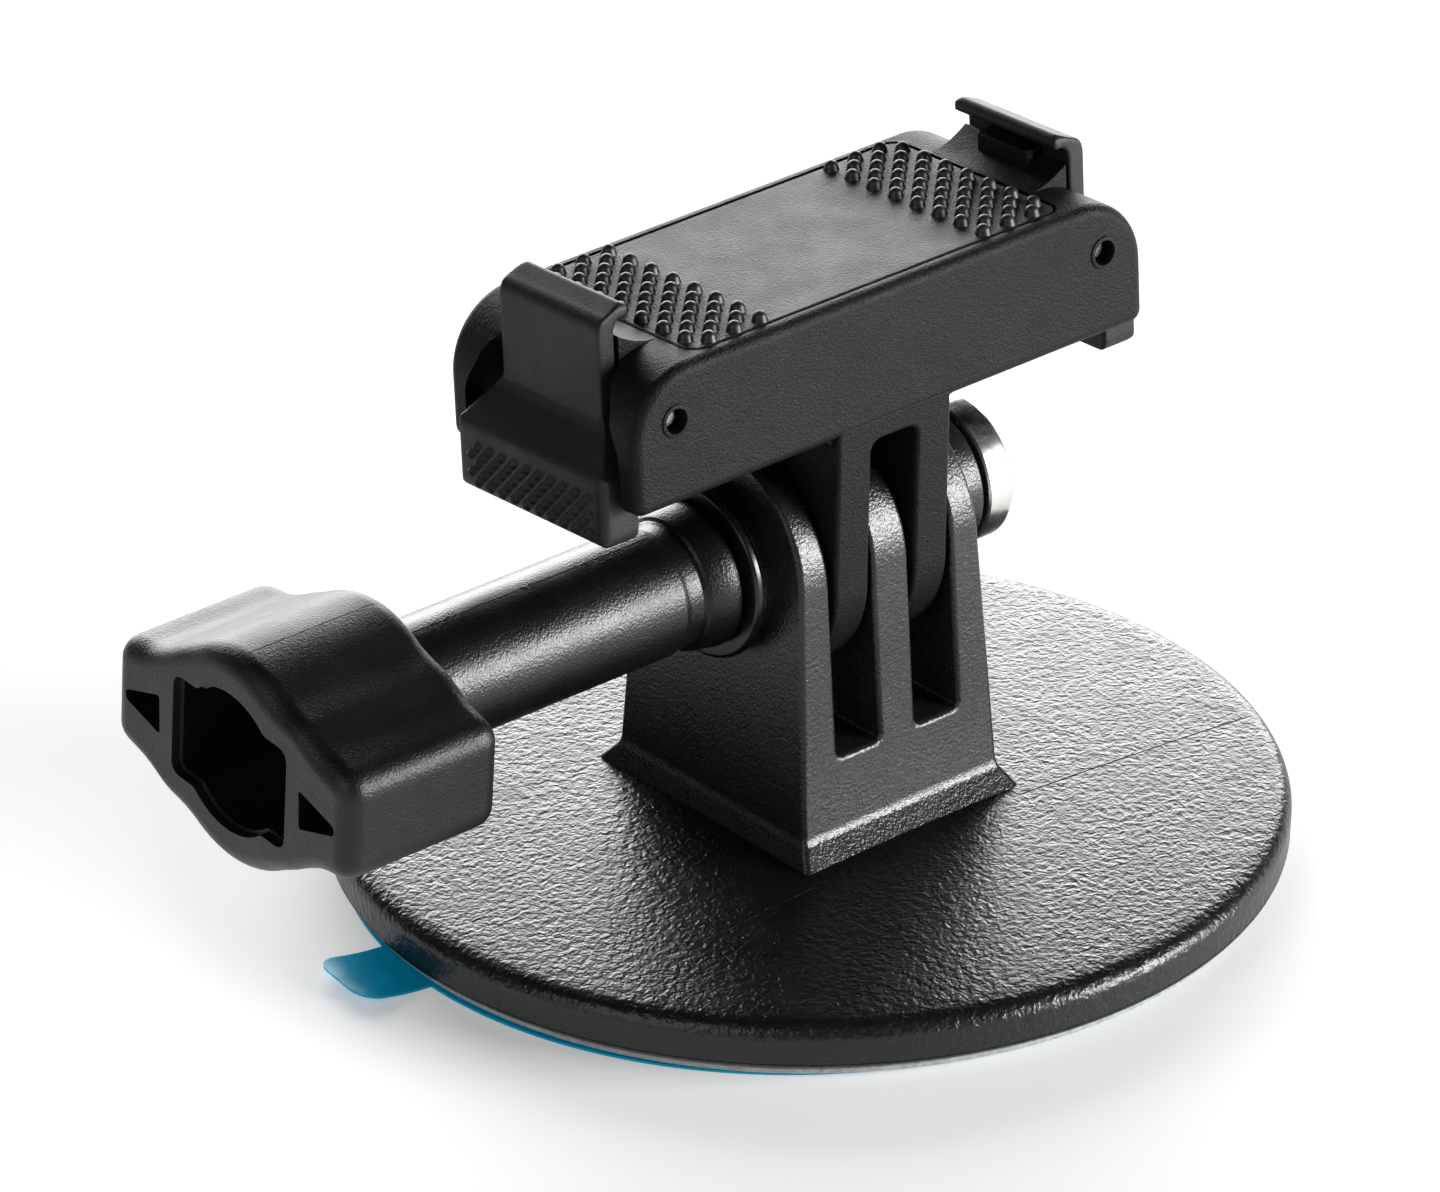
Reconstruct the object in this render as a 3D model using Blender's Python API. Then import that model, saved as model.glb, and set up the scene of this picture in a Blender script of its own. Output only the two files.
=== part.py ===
"""Adhesive disc mount: a three-prong fork, a thumbscrew and a clip-on camera adapter.

X runs along the thumbscrew towards its nut, Z is up, and the front of the fork faces -Y.
The origin is the middle of the disc on the surface that the mount is stuck to.
"""

import math

import bmesh
import bpy
from mathutils import Vector

MM = 0.001
GAP = 0.3 * MM

# Disc, its adhesive and the film that protects the adhesive.
DISC_RADIUS = 28.9 * MM
DISC_BOTTOM = 0.9 * MM
RIM_TOP = 3.77 * MM
RIM_ROUNDING = 1.07 * MM
CROWN = 0.81 * MM
ADHESIVE_RADIUS = 28.3 * MM
ADHESIVE_BOTTOM = 0.3 * MM
ADHESIVE_TOP = 0.72 * MM
FILM_RADIUS = 28.1 * MM
FILM_SHIFT = -0.75 * MM
FILM_THICKNESS = 0.15 * MM
TAB_ANGLE = math.radians(172.5)
TAB_HALF_WIDTH = 2.7 * MM
TAB_REACH = 32.2 * MM
TAB_LIFT = 0.6 * MM
TAB_CORNER = 1.4 * MM

# Fork: three prongs on a drafted tower with a skirt at its foot.
AXIS_HEIGHT = 20.87 * MM
PRONG_PITCH = 6.1 * MM
PRONG_THICKNESS = 2.8 * MM
SLOT_BOTTOM = 10.37 * MM
SKIRT_TOP = 5.92 * MM
SKIRT_FOOT = 4.42 * MM
TOWER_HALF_WIDTH = 7.63 * MM
TOWER_HALF_DEPTH = 8.44 * MM
SKIRT_HALF_WIDTH = 8.39 * MM
SKIRT_HALF_DEPTH = 9.51 * MM
SIDE_DRAFT = 0.047
FRONT_DRAFT = 0.068
TOWER_ROOT = 2.2 * MM

# Thumbscrew along X.
SCREW_RADIUS = 2.4 * MM
BORE_RADIUS = 2.75 * MM
SCREW_TIP = 11.0 * MM
SCREW_HEAD = (-35.2 * MM, -32.3 * MM)
HEAD_FLATS = 5.6 * MM
SLEEVE_RADIUS = 3.97 * MM
SLEEVE_START = -35.5 * MM
SLEEVE_END = -8.85 * MM
SLEEVE_WAIST = (-12.1 * MM, -11.2 * MM)
SLEEVE_WAIST_RADIUS = 3.82 * MM
COLLAR_START = -10.95 * MM
COLLAR_RADII = (4.15 * MM, 4.5 * MM)
WASHER = (-8.55 * MM, -8.0 * MM)
WASHER_RADIUS = 5.4 * MM
LEFT_BOSS_END = -7.7 * MM
LEFT_BOSS_RADIUS = 5.0 * MM
RIGHT_BOSS_END = 10.1 * MM
RIGHT_BOSS_RADIUS = 4.4 * MM
NUT_DISC = (10.4 * MM, 12.35 * MM)
NUT_RADIUS = 4.5 * MM
NUT_START = 7.3 * MM
NUT_FLATS = 6.3 * MM
NUT_BORE_END = 11.4 * MM
NUT_POCKET = 6.9 * MM

# Knob: a round hub with two wings, turned a little about the screw.
KNOB_FRONT = -43.25 * MM
KNOB_REAR = -32.0 * MM
KNOB_HUB_RADIUS = 6.9 * MM
KNOB_WING = ((10.45 * MM, 3.85 * MM), (3.25 * MM, 4.25 * MM), (5.0 * MM, -4.75 * MM), (11.0 * MM, -2.8 * MM))
KNOB_WING_CORNER = 1.5 * MM
KNOB_WAIST = 2.3 * MM
KNOB_EDGE = 1.35 * MM
CAVITY_RADIUS = 4.5 * MM
CAVITY_LOBE = (5.15 * MM, 3.3 * MM)
CAVITY_LOBE_CORNER = 0.7 * MM
CAVITY_TURN = math.radians(5.0)
CAVITY_FLOOR = -37.0 * MM
SOCKET_FLOOR = -35.8 * MM
WING_POCKET_FLOOR = -38.5 * MM
WING_POCKET_CORNERS = ((6.3 * MM, 1.65 * MM), (9.5 * MM, 0.75 * MM), (9.5 * MM, 0.2 * MM),
                       (6.4 * MM, -0.9 * MM))

# Adapter, measured from the screw axis in its own upright frame.
REST_TILT = math.radians(-3.3)
BODY_HALF_LENGTH = 19.55 * MM
BODY_HALF_DEPTH = 8.4 * MM
BODY_BOTTOM = 9.65 * MM
BODY_TOP = 18.2 * MM
BODY_SHOULDER = 4.5 * MM
BODY_CORNER = 0.8 * MM
LEG_THICKNESS = 2.6 * MM
LEG_END_RADIUS = 7.5 * MM
LEG_WEB_BOTTOM = 8.7 * MM
POCKET_BACK = 14.75 * MM
POCKET_CEILING = 16.75 * MM
POCKET_HALF_WIDTH = 6.9 * MM
GATE_BACK = 17.15 * MM
GATE_HALF_WIDTH = 4.75 * MM
RAMP_START = 14.5 * MM
RAMP_MIDDLE = (15.6 * MM, 18.55 * MM)
RAMP_TOP = 19.3 * MM
RAMP_HALF_WIDTH = 4.45 * MM
TOOTH_HALF_WIDTH = 2.25 * MM
TOOTH_START = 16.0 * MM
TOOTH_TOP = 19.7 * MM
PIN_X = 16.43 * MM
PIN_HEIGHT = 15.0 * MM
PIN_RADIUS = 0.65 * MM
PIN_HALF_LENGTH = 7.7 * MM
PIN_HOLE_RADIUS = 0.9 * MM

# Pad on top of the adapter, with two fields of pips, and the magnets under it.
PAD_HALF_LENGTH = 14.1 * MM
PAD_HALF_DEPTH = 7.35 * MM
PAD_BOTTOM = 17.05 * MM
PAD_TOP = 18.2 * MM
PAD_CORNER = 1.0 * MM
PIP_RADIUS = 0.47 * MM
PIP_HEIGHT = 0.6 * MM
PIP_FIRST_COLUMN = 8.57 * MM
PIP_COLUMN_STEP = 0.954 * MM
PIP_COLUMNS = 6
PIP_ROW_STEP = 1.923 * MM
PIP_ROWS = 8
MAGNET_CENTRE = 8.5 * MM
MAGNET_HALF = (4.0 * MM, 5.0 * MM)
MAGNET_HEIGHTS = (13.9 * MM, 16.3 * MM)
KEEPER_HALF = (13.0 * MM, 5.0 * MM)
KEEPER_HEIGHTS = (12.6 * MM, 13.6 * MM)

# Clip at each end of the adapter, measured outwards from the middle and up from the screw axis.
CLIP_OUTER = 18.6 * MM
CLIP_PLATE = 1.2 * MM
CLIP_HALF_WIDTH = 4.45 * MM
CLIP_HOOK_INNER = 16.3 * MM
CLIP_HOOK_HEIGHTS = (20.25 * MM, 20.7 * MM, 21.15 * MM)
CLIP_SHOULDER = (14.6 * MM, 11.7 * MM)
THUMB_OUTER = 20.64 * MM
THUMB_INNER = 18.0 * MM
THUMB_BOTTOM = 7.4 * MM
THUMB_HALF_WIDTH = 6.6 * MM
HUB_RADIUS = 1.4 * MM
HUB_HOLE_RADIUS = 0.95 * MM
SPRING_RADIUS = 1.1 * MM
SPRING_WIRE = 0.2 * MM
SPRING_TURNS = 4
SPRING_PITCH = 0.55 * MM
SPRING_LEG = 2.4 * MM
SPRING_ROOM_RADIUS = 1.6 * MM
SPRING_ROOM_HALF_WIDTH = 1.9 * MM

AXES = {"X": 0, "Y": 1, "Z": 2}


# ---------------------------------------------------------------- materials

def material(name, colour, roughness, metallic=0.0, alpha=1.0):
    made = bpy.data.materials.get(name) or bpy.data.materials.new(name)
    made.use_nodes = True
    shader = made.node_tree.nodes["Principled BSDF"]
    shader.inputs["Base Color"].default_value = (*colour, 1.0)
    shader.inputs["Roughness"].default_value = roughness
    shader.inputs["Metallic"].default_value = metallic
    shader.inputs["Alpha"].default_value = alpha
    return made


def base_plastic():
    return material("base_plastic", (0.012, 0.013, 0.014), 0.42)


def adapter_plastic():
    return material("adapter_plastic", (0.028, 0.030, 0.033), 0.55)


def clip_plastic():
    return material("clip_plastic", (0.024, 0.026, 0.029), 0.5)


def knob_plastic():
    return material("knob_plastic", (0.017, 0.018, 0.019), 0.5)


def sleeve_plastic():
    return material("sleeve_plastic", (0.010, 0.011, 0.012), 0.38)


def pad_rubber():
    return material("pad_rubber", (0.030, 0.031, 0.033), 0.6)


def polished_steel():
    return material("polished_steel", (0.72, 0.71, 0.69), 0.15, metallic=1.0)


def plain_steel():
    return material("plain_steel", (0.55, 0.55, 0.55), 0.3, metallic=1.0)


def magnet_nickel():
    return material("magnet_nickel", (0.62, 0.60, 0.57), 0.25, metallic=1.0)


def adhesive_foam():
    return material("adhesive_foam", (0.25, 0.26, 0.27), 0.7)


def film_plastic():
    return material("film_plastic", (0.0, 0.33, 0.50), 0.25)


# ---------------------------------------------------------------- mesh helpers

def make_object(name, mesh_data, finish=None, parent=None, smooth_angle=30.0):
    """Turn a bmesh into a named object, shaded smooth except at its sharp edges."""
    bmesh.ops.recalc_face_normals(mesh_data, faces=mesh_data.faces)
    mesh = bpy.data.meshes.new(name)
    mesh_data.to_mesh(mesh)
    mesh_data.free()
    mesh.shade_smooth()
    mesh.set_sharp_from_angle(angle=math.radians(smooth_angle))
    made = bpy.data.objects.new(name, mesh)
    if finish:
        mesh.materials.append(finish)
    bpy.context.scene.collection.objects.link(made)
    made.parent = parent
    return made


def combine(target, other, operation):
    """Union, cut or intersect target with another object, which becomes a hidden guide."""
    other.hide_render = True
    other.display_type = "WIRE"
    step = target.modifiers.new(other.name, "BOOLEAN")
    step.operation = operation
    step.object = other
    step.solver = "EXACT"


def loft(rings):
    """Closed solid through rings of equally many points, with a flat cap at each end."""
    shape = bmesh.new()
    made = [[shape.verts.new(point) for point in ring] for ring in rings]
    count = len(made[0])
    for lower, upper in zip(made, made[1:]):
        for index in range(count):
            following = (index + 1) % count
            shape.faces.new((lower[index], lower[following], upper[following], upper[index]))
    shape.faces.new(list(reversed(made[0])))
    shape.faces.new(made[-1])
    return shape


def placed(axis, along, across, up):
    """A point with its first value along the named axis, in right-handed order after it."""
    point = Vector((0.0, 0.0, 0.0))
    first = AXES[axis]
    others = [index for index in range(3) if index != first]
    point[first] = along
    point[others[0]] = across
    point[others[1]] = up
    return point


def prism(axis, outline, start, end):
    """A flat outline, given in the two other axes, extruded along the named axis."""
    return loft([[placed(axis, along, *point) for point in outline] for along in (start, end)])


def turned(axis, profile, sides, across=0.0, up=0.0):
    """A solid of revolution about a line along the named axis; profile holds (along, radius)."""
    rings = []
    for along, radius in profile:
        ring = []
        for index in range(sides):
            angle = 2.0 * math.pi * index / sides
            ring.append(placed(axis, along, across + radius * math.cos(angle),
                               up + radius * math.sin(angle)))
        rings.append(ring)
    return loft(rings)


def rod(axis, radius, start, end, sides=32, across=0.0, up=0.0):
    return turned(axis, [(start, radius), (end, radius)], sides, across, up)


def arc(centre, radius, first, last, steps):
    """Points along a circular arc, with the angles in degrees."""
    points = []
    for index in range(steps + 1):
        angle = math.radians(first + (last - first) * index / steps)
        points.append((centre[0] + radius * math.cos(angle), centre[1] + radius * math.sin(angle)))
    return points


def rounded_rectangle(half_width, half_height, corner, steps=4, centre=(0.0, 0.0)):
    points = []
    for quarter, (side, rise) in enumerate(((1, 1), (-1, 1), (-1, -1), (1, -1))):
        corner_centre = (centre[0] + side * (half_width - corner),
                         centre[1] + rise * (half_height - corner))
        points += arc(corner_centre, corner, 90 * quarter, 90 * quarter + 90, steps)
    return points


def block(low, high):
    outline = [(low[0], low[1]), (high[0], low[1]), (high[0], high[1]), (low[0], high[1])]
    return prism("Z", outline, low[2], high[2])


def hexagon(flats):
    corner = flats / math.sqrt(3.0)
    return [(corner * math.cos(math.radians(60 * index)), corner * math.sin(math.radians(60 * index)))
            for index in range(6)]


def mirrored(outline):
    """The same outline on the other side of the middle."""
    return [(-across, up) for across, up in outline]


# ---------------------------------------------------------------- disc, adhesive and film

def disc_profile():
    """Height and radius down the outer side, from the crown to the underside."""
    profile = []
    for step in range(5):
        radius = (DISC_RADIUS - RIM_ROUNDING) * (0.001 + 0.999 * step / 4)
        profile.append((RIM_TOP + CROWN * (1.0 - (radius / DISC_RADIUS) ** 2), radius))
    for up, out in arc((RIM_TOP - RIM_ROUNDING, DISC_RADIUS - RIM_ROUNDING), RIM_ROUNDING, 22, 90, 3):
        profile.append((up, out))
    profile.append((DISC_BOTTOM + 0.3 * MM, DISC_RADIUS - 0.1 * MM))
    profile.append((DISC_BOTTOM, DISC_RADIUS - 0.4 * MM))
    return profile


def tower_outline():
    """Side view of the fork in Y and Z: drafted front and back, and a round top."""
    rise = AXIS_HEIGHT - SKIRT_TOP
    half_depth = TOWER_HALF_DEPTH - FRONT_DRAFT * rise
    root_depth = TOWER_HALF_DEPTH + FRONT_DRAFT * (SKIRT_TOP - TOWER_ROOT)
    top = arc((0.0, AXIS_HEIGHT), half_depth, 0, 180, 20)
    return [(root_depth, TOWER_ROOT)] + top + [(-root_depth, TOWER_ROOT)]


def tower_solid():
    """The fork's outline carried to both drafted sides."""
    rings = []
    for side in (-1, 1):
        rings.append([Vector((side * (TOWER_HALF_WIDTH - SIDE_DRAFT * (up - SKIRT_TOP)), across, up))
                      for across, up in tower_outline()])
    return loft(rings)


def skirt_solid():
    """The flare round the tower's foot, carried down into the disc."""
    spread = (SKIRT_HALF_WIDTH - TOWER_HALF_WIDTH) / (SKIRT_TOP - SKIRT_FOOT)
    rings = []
    for height in (SKIRT_TOP, TOWER_ROOT + GAP):
        drop = (SKIRT_TOP - height) * spread
        wide = TOWER_HALF_WIDTH + drop
        deep = TOWER_HALF_DEPTH + drop * (SKIRT_HALF_DEPTH - TOWER_HALF_DEPTH) / (
            SKIRT_HALF_WIDTH - TOWER_HALF_WIDTH)
        rings.append([Vector((x * wide, y * deep, height)) for x, y in ((1, 1), (-1, 1), (-1, -1), (1, -1))])
    return loft(rings)


def add_base():
    base = make_object("base", turned("Z", disc_profile(), 80), base_plastic())
    combine(base, make_object("tower_guide", tower_solid()), "UNION")
    combine(base, make_object("skirt_guide", skirt_solid()), "UNION")
    left_boss = rod("X", LEFT_BOSS_RADIUS, LEFT_BOSS_END, -PRONG_PITCH, up=AXIS_HEIGHT)
    combine(base, make_object("left_boss_guide", left_boss), "UNION")
    right_boss = rod("X", RIGHT_BOSS_RADIUS, PRONG_PITCH, RIGHT_BOSS_END, up=AXIS_HEIGHT)
    combine(base, make_object("right_boss_guide", right_boss), "UNION")
    for side in (-1, 1):
        inner = PRONG_THICKNESS / 2
        outer = PRONG_PITCH - PRONG_THICKNESS / 2
        near, far = sorted((side * inner, side * outer))
        slot = block((near, -15 * MM, SLOT_BOTTOM), (far, 15 * MM, 40 * MM))
        combine(base, make_object("slot_cutter", slot), "DIFFERENCE")
    bore = rod("X", BORE_RADIUS, -12 * MM, 14 * MM, sides=24, up=AXIS_HEIGHT)
    combine(base, make_object("bore_cutter", bore), "DIFFERENCE")
    socket = [(across, up + AXIS_HEIGHT) for across, up in hexagon(NUT_FLATS + 2 * GAP)]
    combine(base, make_object("nut_pocket_cutter", prism("X", socket, NUT_POCKET, 14 * MM)), "DIFFERENCE")
    return base


def add_adhesive():
    pad = rod("Z", ADHESIVE_RADIUS, ADHESIVE_BOTTOM, ADHESIVE_TOP, sides=80)
    return make_object("adhesive_pad", pad, adhesive_foam())


def film_outline():
    """A disc with one round-cornered pull tab."""
    spread = math.asin(TAB_HALF_WIDTH / FILM_RADIUS)
    outline = []
    steps = 72
    for index in range(steps + 1):
        angle = TAB_ANGLE + spread + (2.0 * math.pi - 2.0 * spread) * index / steps
        outline.append((FILM_RADIUS * math.cos(angle), FILM_RADIUS * math.sin(angle)))
    tip = []
    for side in (-1, 1):
        centre = (TAB_REACH - TAB_CORNER, side * (TAB_HALF_WIDTH - TAB_CORNER))
        first = -90 if side < 0 else 0
        tip += arc(centre, TAB_CORNER, first, first + 90, 4)
    halfway = (FILM_RADIUS + TAB_REACH) / 2
    tip = [(halfway, -TAB_HALF_WIDTH)] + tip + [(halfway, TAB_HALF_WIDTH)]
    for along, across in tip:
        outline.append((along * math.cos(TAB_ANGLE) - across * math.sin(TAB_ANGLE),
                        along * math.sin(TAB_ANGLE) + across * math.cos(TAB_ANGLE)))
    return outline


def add_film():
    """The thin release film under the adhesive, with its tab curling up a little."""
    rings = []
    for base_height in (0.0, FILM_THICKNESS):
        ring = []
        for x, y in film_outline():
            reach = math.hypot(x, y)
            rise = max(0.0, (reach - FILM_RADIUS) / (TAB_REACH - FILM_RADIUS))
            ring.append(Vector((x + FILM_SHIFT, y, base_height + TAB_LIFT * rise ** 2)))
        rings.append(ring)
    return make_object("release_film", loft(rings), film_plastic())


# ---------------------------------------------------------------- thumbscrew

def add_screw(parent):
    """A plain-shanked screw with a hexagonal head held in the sleeve."""
    shank_root = SCREW_HEAD[1] - 0.5 * MM
    profile = [(shank_root, SCREW_RADIUS), (SCREW_TIP - 0.4 * MM, SCREW_RADIUS),
               (SCREW_TIP, SCREW_RADIUS - 0.4 * MM)]
    screw = make_object("clamp_screw", turned("X", profile, 24), plain_steel(), parent)
    head = make_object("screw_head_guide", prism("X", hexagon(HEAD_FLATS), *SCREW_HEAD), parent=parent)
    combine(screw, head, "UNION")
    return screw


def add_sleeve(parent):
    """The tube between the knob and the fork, with a shallow waist and a flared collar."""
    waist_start, waist_end = SLEEVE_WAIST
    collar_radius, flare_radius = COLLAR_RADII
    profile = [(SLEEVE_START, SLEEVE_RADIUS), (waist_start - 0.4 * MM, SLEEVE_RADIUS),
               (waist_start, SLEEVE_WAIST_RADIUS), (waist_end, SLEEVE_WAIST_RADIUS),
               (COLLAR_START, collar_radius), (SLEEVE_END - 0.25 * MM, flare_radius),
               (SLEEVE_END, flare_radius - 0.05 * MM)]
    sleeve = make_object("screw_sleeve", turned("X", profile, 36), sleeve_plastic(), parent)
    bore = rod("X", BORE_RADIUS, SLEEVE_START - MM, SLEEVE_END + MM, sides=24)
    combine(sleeve, make_object("sleeve_bore_cutter", bore, parent=parent), "DIFFERENCE")
    socket = prism("X", hexagon(HEAD_FLATS + 2 * GAP), SLEEVE_START - MM, SCREW_HEAD[1] + GAP)
    combine(sleeve, make_object("head_socket_cutter", socket, parent=parent), "DIFFERENCE")
    return sleeve


def add_washer(parent):
    profile = [(WASHER[0], WASHER_RADIUS - 0.12 * MM), (WASHER[0] + 0.12 * MM, WASHER_RADIUS),
               (WASHER[1] - 0.12 * MM, WASHER_RADIUS), (WASHER[1], WASHER_RADIUS - 0.12 * MM)]
    washer = make_object("thrust_washer", turned("X", profile, 36), sleeve_plastic(), parent)
    hole = rod("X", BORE_RADIUS, WASHER[0] - MM, WASHER[1] + MM, sides=24)
    combine(washer, make_object("washer_hole_cutter", hole, parent=parent), "DIFFERENCE")
    return washer


def add_nut():
    """A domed-edge cap nut whose hexagonal shank sits in the right boss."""
    profile = [(NUT_DISC[0], NUT_RADIUS - 0.1 * MM), (NUT_DISC[0] + 0.1 * MM, NUT_RADIUS),
               (NUT_DISC[1] - 0.25 * MM, NUT_RADIUS), (NUT_DISC[1], NUT_RADIUS - 0.25 * MM)]
    nut = make_object("cap_nut", turned("X", profile, 48, up=AXIS_HEIGHT), polished_steel())
    shank = [(across, up + AXIS_HEIGHT) for across, up in hexagon(NUT_FLATS)]
    shank_solid = prism("X", shank, NUT_START, NUT_DISC[0] + 0.5 * MM)
    combine(nut, make_object("nut_shank_guide", shank_solid), "UNION")
    bore = rod("X", BORE_RADIUS, NUT_START - MM, NUT_BORE_END, sides=24, up=AXIS_HEIGHT)
    combine(nut, make_object("nut_bore_cutter", bore), "DIFFERENCE")
    return nut


def box_distance(across, up, half_width, half_height, corner):
    """Signed distance from a point to a rectangle with round corners."""
    beyond = (abs(across) - half_width + corner, abs(up) - half_height + corner)
    outside = math.hypot(max(beyond[0], 0.0), max(beyond[1], 0.0))
    return outside + min(max(beyond), 0.0) - corner


def drawn_in(corners, inset):
    """A convex outline, listed anticlockwise, with its sides moved in by an inset."""
    count = len(corners)
    moved = []
    for index in range(count):
        before, corner, after = corners[index - 1], corners[index], corners[(index + 1) % count]
        lines = []
        for start, end in ((before, corner), (corner, after)):
            length = math.dist(start, end)
            normal = ((start[1] - end[1]) / length, (end[0] - start[0]) / length)
            lines.append((*normal, normal[0] * start[0] + normal[1] * start[1] + inset))
        (a, b, c), (d, e, f) = lines
        moved.append(((c * e - b * f) / (a * e - b * d), (a * f - c * d) / (a * e - b * d)))
    return moved


def outline_distance(across, up, corners):
    """Signed distance from a point to a convex outline listed anticlockwise."""
    nearest, inside = 1.0, True
    for start, end in zip(corners, corners[1:] + corners[:1]):
        side = (end[0] - start[0], end[1] - start[1])
        to_point = (across - start[0], up - start[1])
        share = (to_point[0] * side[0] + to_point[1] * side[1]) / (side[0] ** 2 + side[1] ** 2)
        share = min(max(share, 0.0), 1.0)
        nearest = min(nearest, math.hypot(to_point[0] - share * side[0], to_point[1] - share * side[1]))
        inside = inside and side[0] * to_point[1] - side[1] * to_point[0] > 0.0
    return -nearest if inside else nearest


KNOB_WING_CORE = drawn_in(KNOB_WING, KNOB_WING_CORNER)


def grip_distance(across, up):
    """Signed distance to the knob's end view: a round hub with two skewed wings and a soft waist."""
    hub = math.hypot(across, up) - KNOB_HUB_RADIUS
    wing = min(outline_distance(side * across, side * up, KNOB_WING_CORE) for side in (-1, 1))
    wing -= KNOB_WING_CORNER
    blend = math.hypot(max(KNOB_WAIST - hub, 0.0), max(KNOB_WAIST - wing, 0.0))
    return max(KNOB_WAIST, min(hub, wing)) - blend


def cavity_distance(across, up):
    """Signed distance to the cavity's outline: a circle with a squarer lobe on each side."""
    along = across * math.cos(CAVITY_TURN) + up * math.sin(CAVITY_TURN)
    rise = up * math.cos(CAVITY_TURN) - across * math.sin(CAVITY_TURN)
    lobes = box_distance(along, rise, *CAVITY_LOBE, CAVITY_LOBE_CORNER)
    return min(math.hypot(along, rise) - CAVITY_RADIUS, lobes)


def traced_outline(distance, inset, sides):
    """Points round the origin where a signed distance equals minus the inset."""
    outline = []
    for index in range(sides):
        angle = 2.0 * math.pi * index / sides
        inner, outer = 1.0 * MM, 20.0 * MM
        for _ in range(30):
            middle = (inner + outer) / 2
            if distance(middle * math.cos(angle), middle * math.sin(angle)) > -inset:
                outer = middle
            else:
                inner = middle
        outline.append((inner * math.cos(angle), inner * math.sin(angle)))
    return outline


def wing_pocket(side):
    """A tapering pocket in the end of one wing; the other wing's is turned half round."""
    return [(side * across, side * up) for across, up in WING_POCKET_CORNERS]


def add_knob(parent):
    sides = 72
    sections = [(KNOB_FRONT, 0.8 * KNOB_EDGE), (KNOB_FRONT + 0.25 * KNOB_EDGE, 0.3 * KNOB_EDGE),
                (KNOB_FRONT + KNOB_EDGE, 0.0), (KNOB_REAR - KNOB_EDGE, 0.0),
                (KNOB_REAR - 0.25 * KNOB_EDGE, 0.3 * KNOB_EDGE), (KNOB_REAR, 0.8 * KNOB_EDGE)]
    rings = [[placed("X", along, *point) for point in traced_outline(grip_distance, inset, sides)]
             for along, inset in sections]
    knob = make_object("knob", loft(rings), knob_plastic(), parent)
    cavity = prism("X", traced_outline(cavity_distance, 0.0, 48), KNOB_FRONT - MM, CAVITY_FLOOR)
    combine(knob, make_object("cavity_cutter", cavity, parent=parent), "DIFFERENCE")
    socket = rod("X", SLEEVE_RADIUS + GAP, SOCKET_FLOOR, KNOB_REAR + MM, sides=36)
    combine(knob, make_object("sleeve_socket_cutter", socket, parent=parent), "DIFFERENCE")
    for side in (-1, 1):
        pocket = prism("X", wing_pocket(side), KNOB_FRONT - MM, WING_POCKET_FLOOR)
        combine(knob, make_object("wing_pocket_cutter", pocket, parent=parent), "DIFFERENCE")
    return knob


# ---------------------------------------------------------------- adapter body and pad

def body_outline():
    """Front view of the adapter body in X and Z, with large round shoulders."""
    shoulder_x = BODY_HALF_LENGTH - BODY_SHOULDER
    shoulder_z = BODY_TOP - BODY_SHOULDER
    corner_x = BODY_HALF_LENGTH - BODY_CORNER
    corner_z = BODY_BOTTOM + BODY_CORNER
    right = arc((corner_x, corner_z), BODY_CORNER, 270, 360, 3)
    right += arc((shoulder_x, shoulder_z), BODY_SHOULDER, 0, 90, 8)
    return right + list(reversed(mirrored(right)))


def leg_outline():
    """Side view of one leg in Y and Z: a taper that ends in a round finger."""
    top = BODY_BOTTOM + 0.7 * MM
    return [(BODY_HALF_DEPTH - 0.05 * MM, top)] + [
        (across, up) for across, up in arc((0.0, 0.0), LEG_END_RADIUS, 0, -180, 20)] + [
        (-BODY_HALF_DEPTH + 0.05 * MM, top)]


def pocket_ring(along, ceiling):
    """End view of a clip pocket in Y and Z, narrowing towards the top and closed by its ceiling."""
    waist = [(GATE_HALF_WIDTH - 0.2 * MM, 22 * MM), (GATE_HALF_WIDTH, 16.9 * MM), (5.5 * MM, 16.3 * MM),
             (6.05 * MM, 14.9 * MM), (POCKET_HALF_WIDTH, 13.2 * MM), (POCKET_HALF_WIDTH, BODY_BOTTOM - MM)]
    waist = [(across, min(up, ceiling)) for across, up in waist]
    return [placed("X", along, *point) for point in waist + list(reversed(mirrored(waist)))]


def pocket_solid(side):
    """The room for a clip: under the deck first, then open to the top and out through the end."""
    sections = ((POCKET_BACK, POCKET_CEILING), (GATE_BACK, POCKET_CEILING),
                (GATE_BACK + 0.01 * MM, 22 * MM), (BODY_HALF_LENGTH + 2 * MM, 22 * MM))
    return loft([pocket_ring(side * along, ceiling) for along, ceiling in sections])


def ramp_outline(side):
    """The concave lead-in that rises at the end of the deck, in X and Z."""
    points = [(RAMP_START, BODY_TOP - MM), (RAMP_START, BODY_TOP), RAMP_MIDDLE,
              (GATE_BACK + 0.3 * MM, RAMP_TOP + 0.1 * MM), (GATE_BACK + 0.3 * MM, BODY_TOP - MM)]
    return [(side * across, up) for across, up in points]


def tooth_outline(side):
    """The small block in the middle of a ramp, in X and Z."""
    points = [(TOOTH_START, BODY_TOP - 0.7 * MM), (TOOTH_START, TOOTH_TOP),
              (GATE_BACK + 0.4 * MM, TOOTH_TOP), (GATE_BACK + 0.4 * MM, BODY_TOP - 0.7 * MM)]
    return [(side * across, up) for across, up in points]


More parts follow.
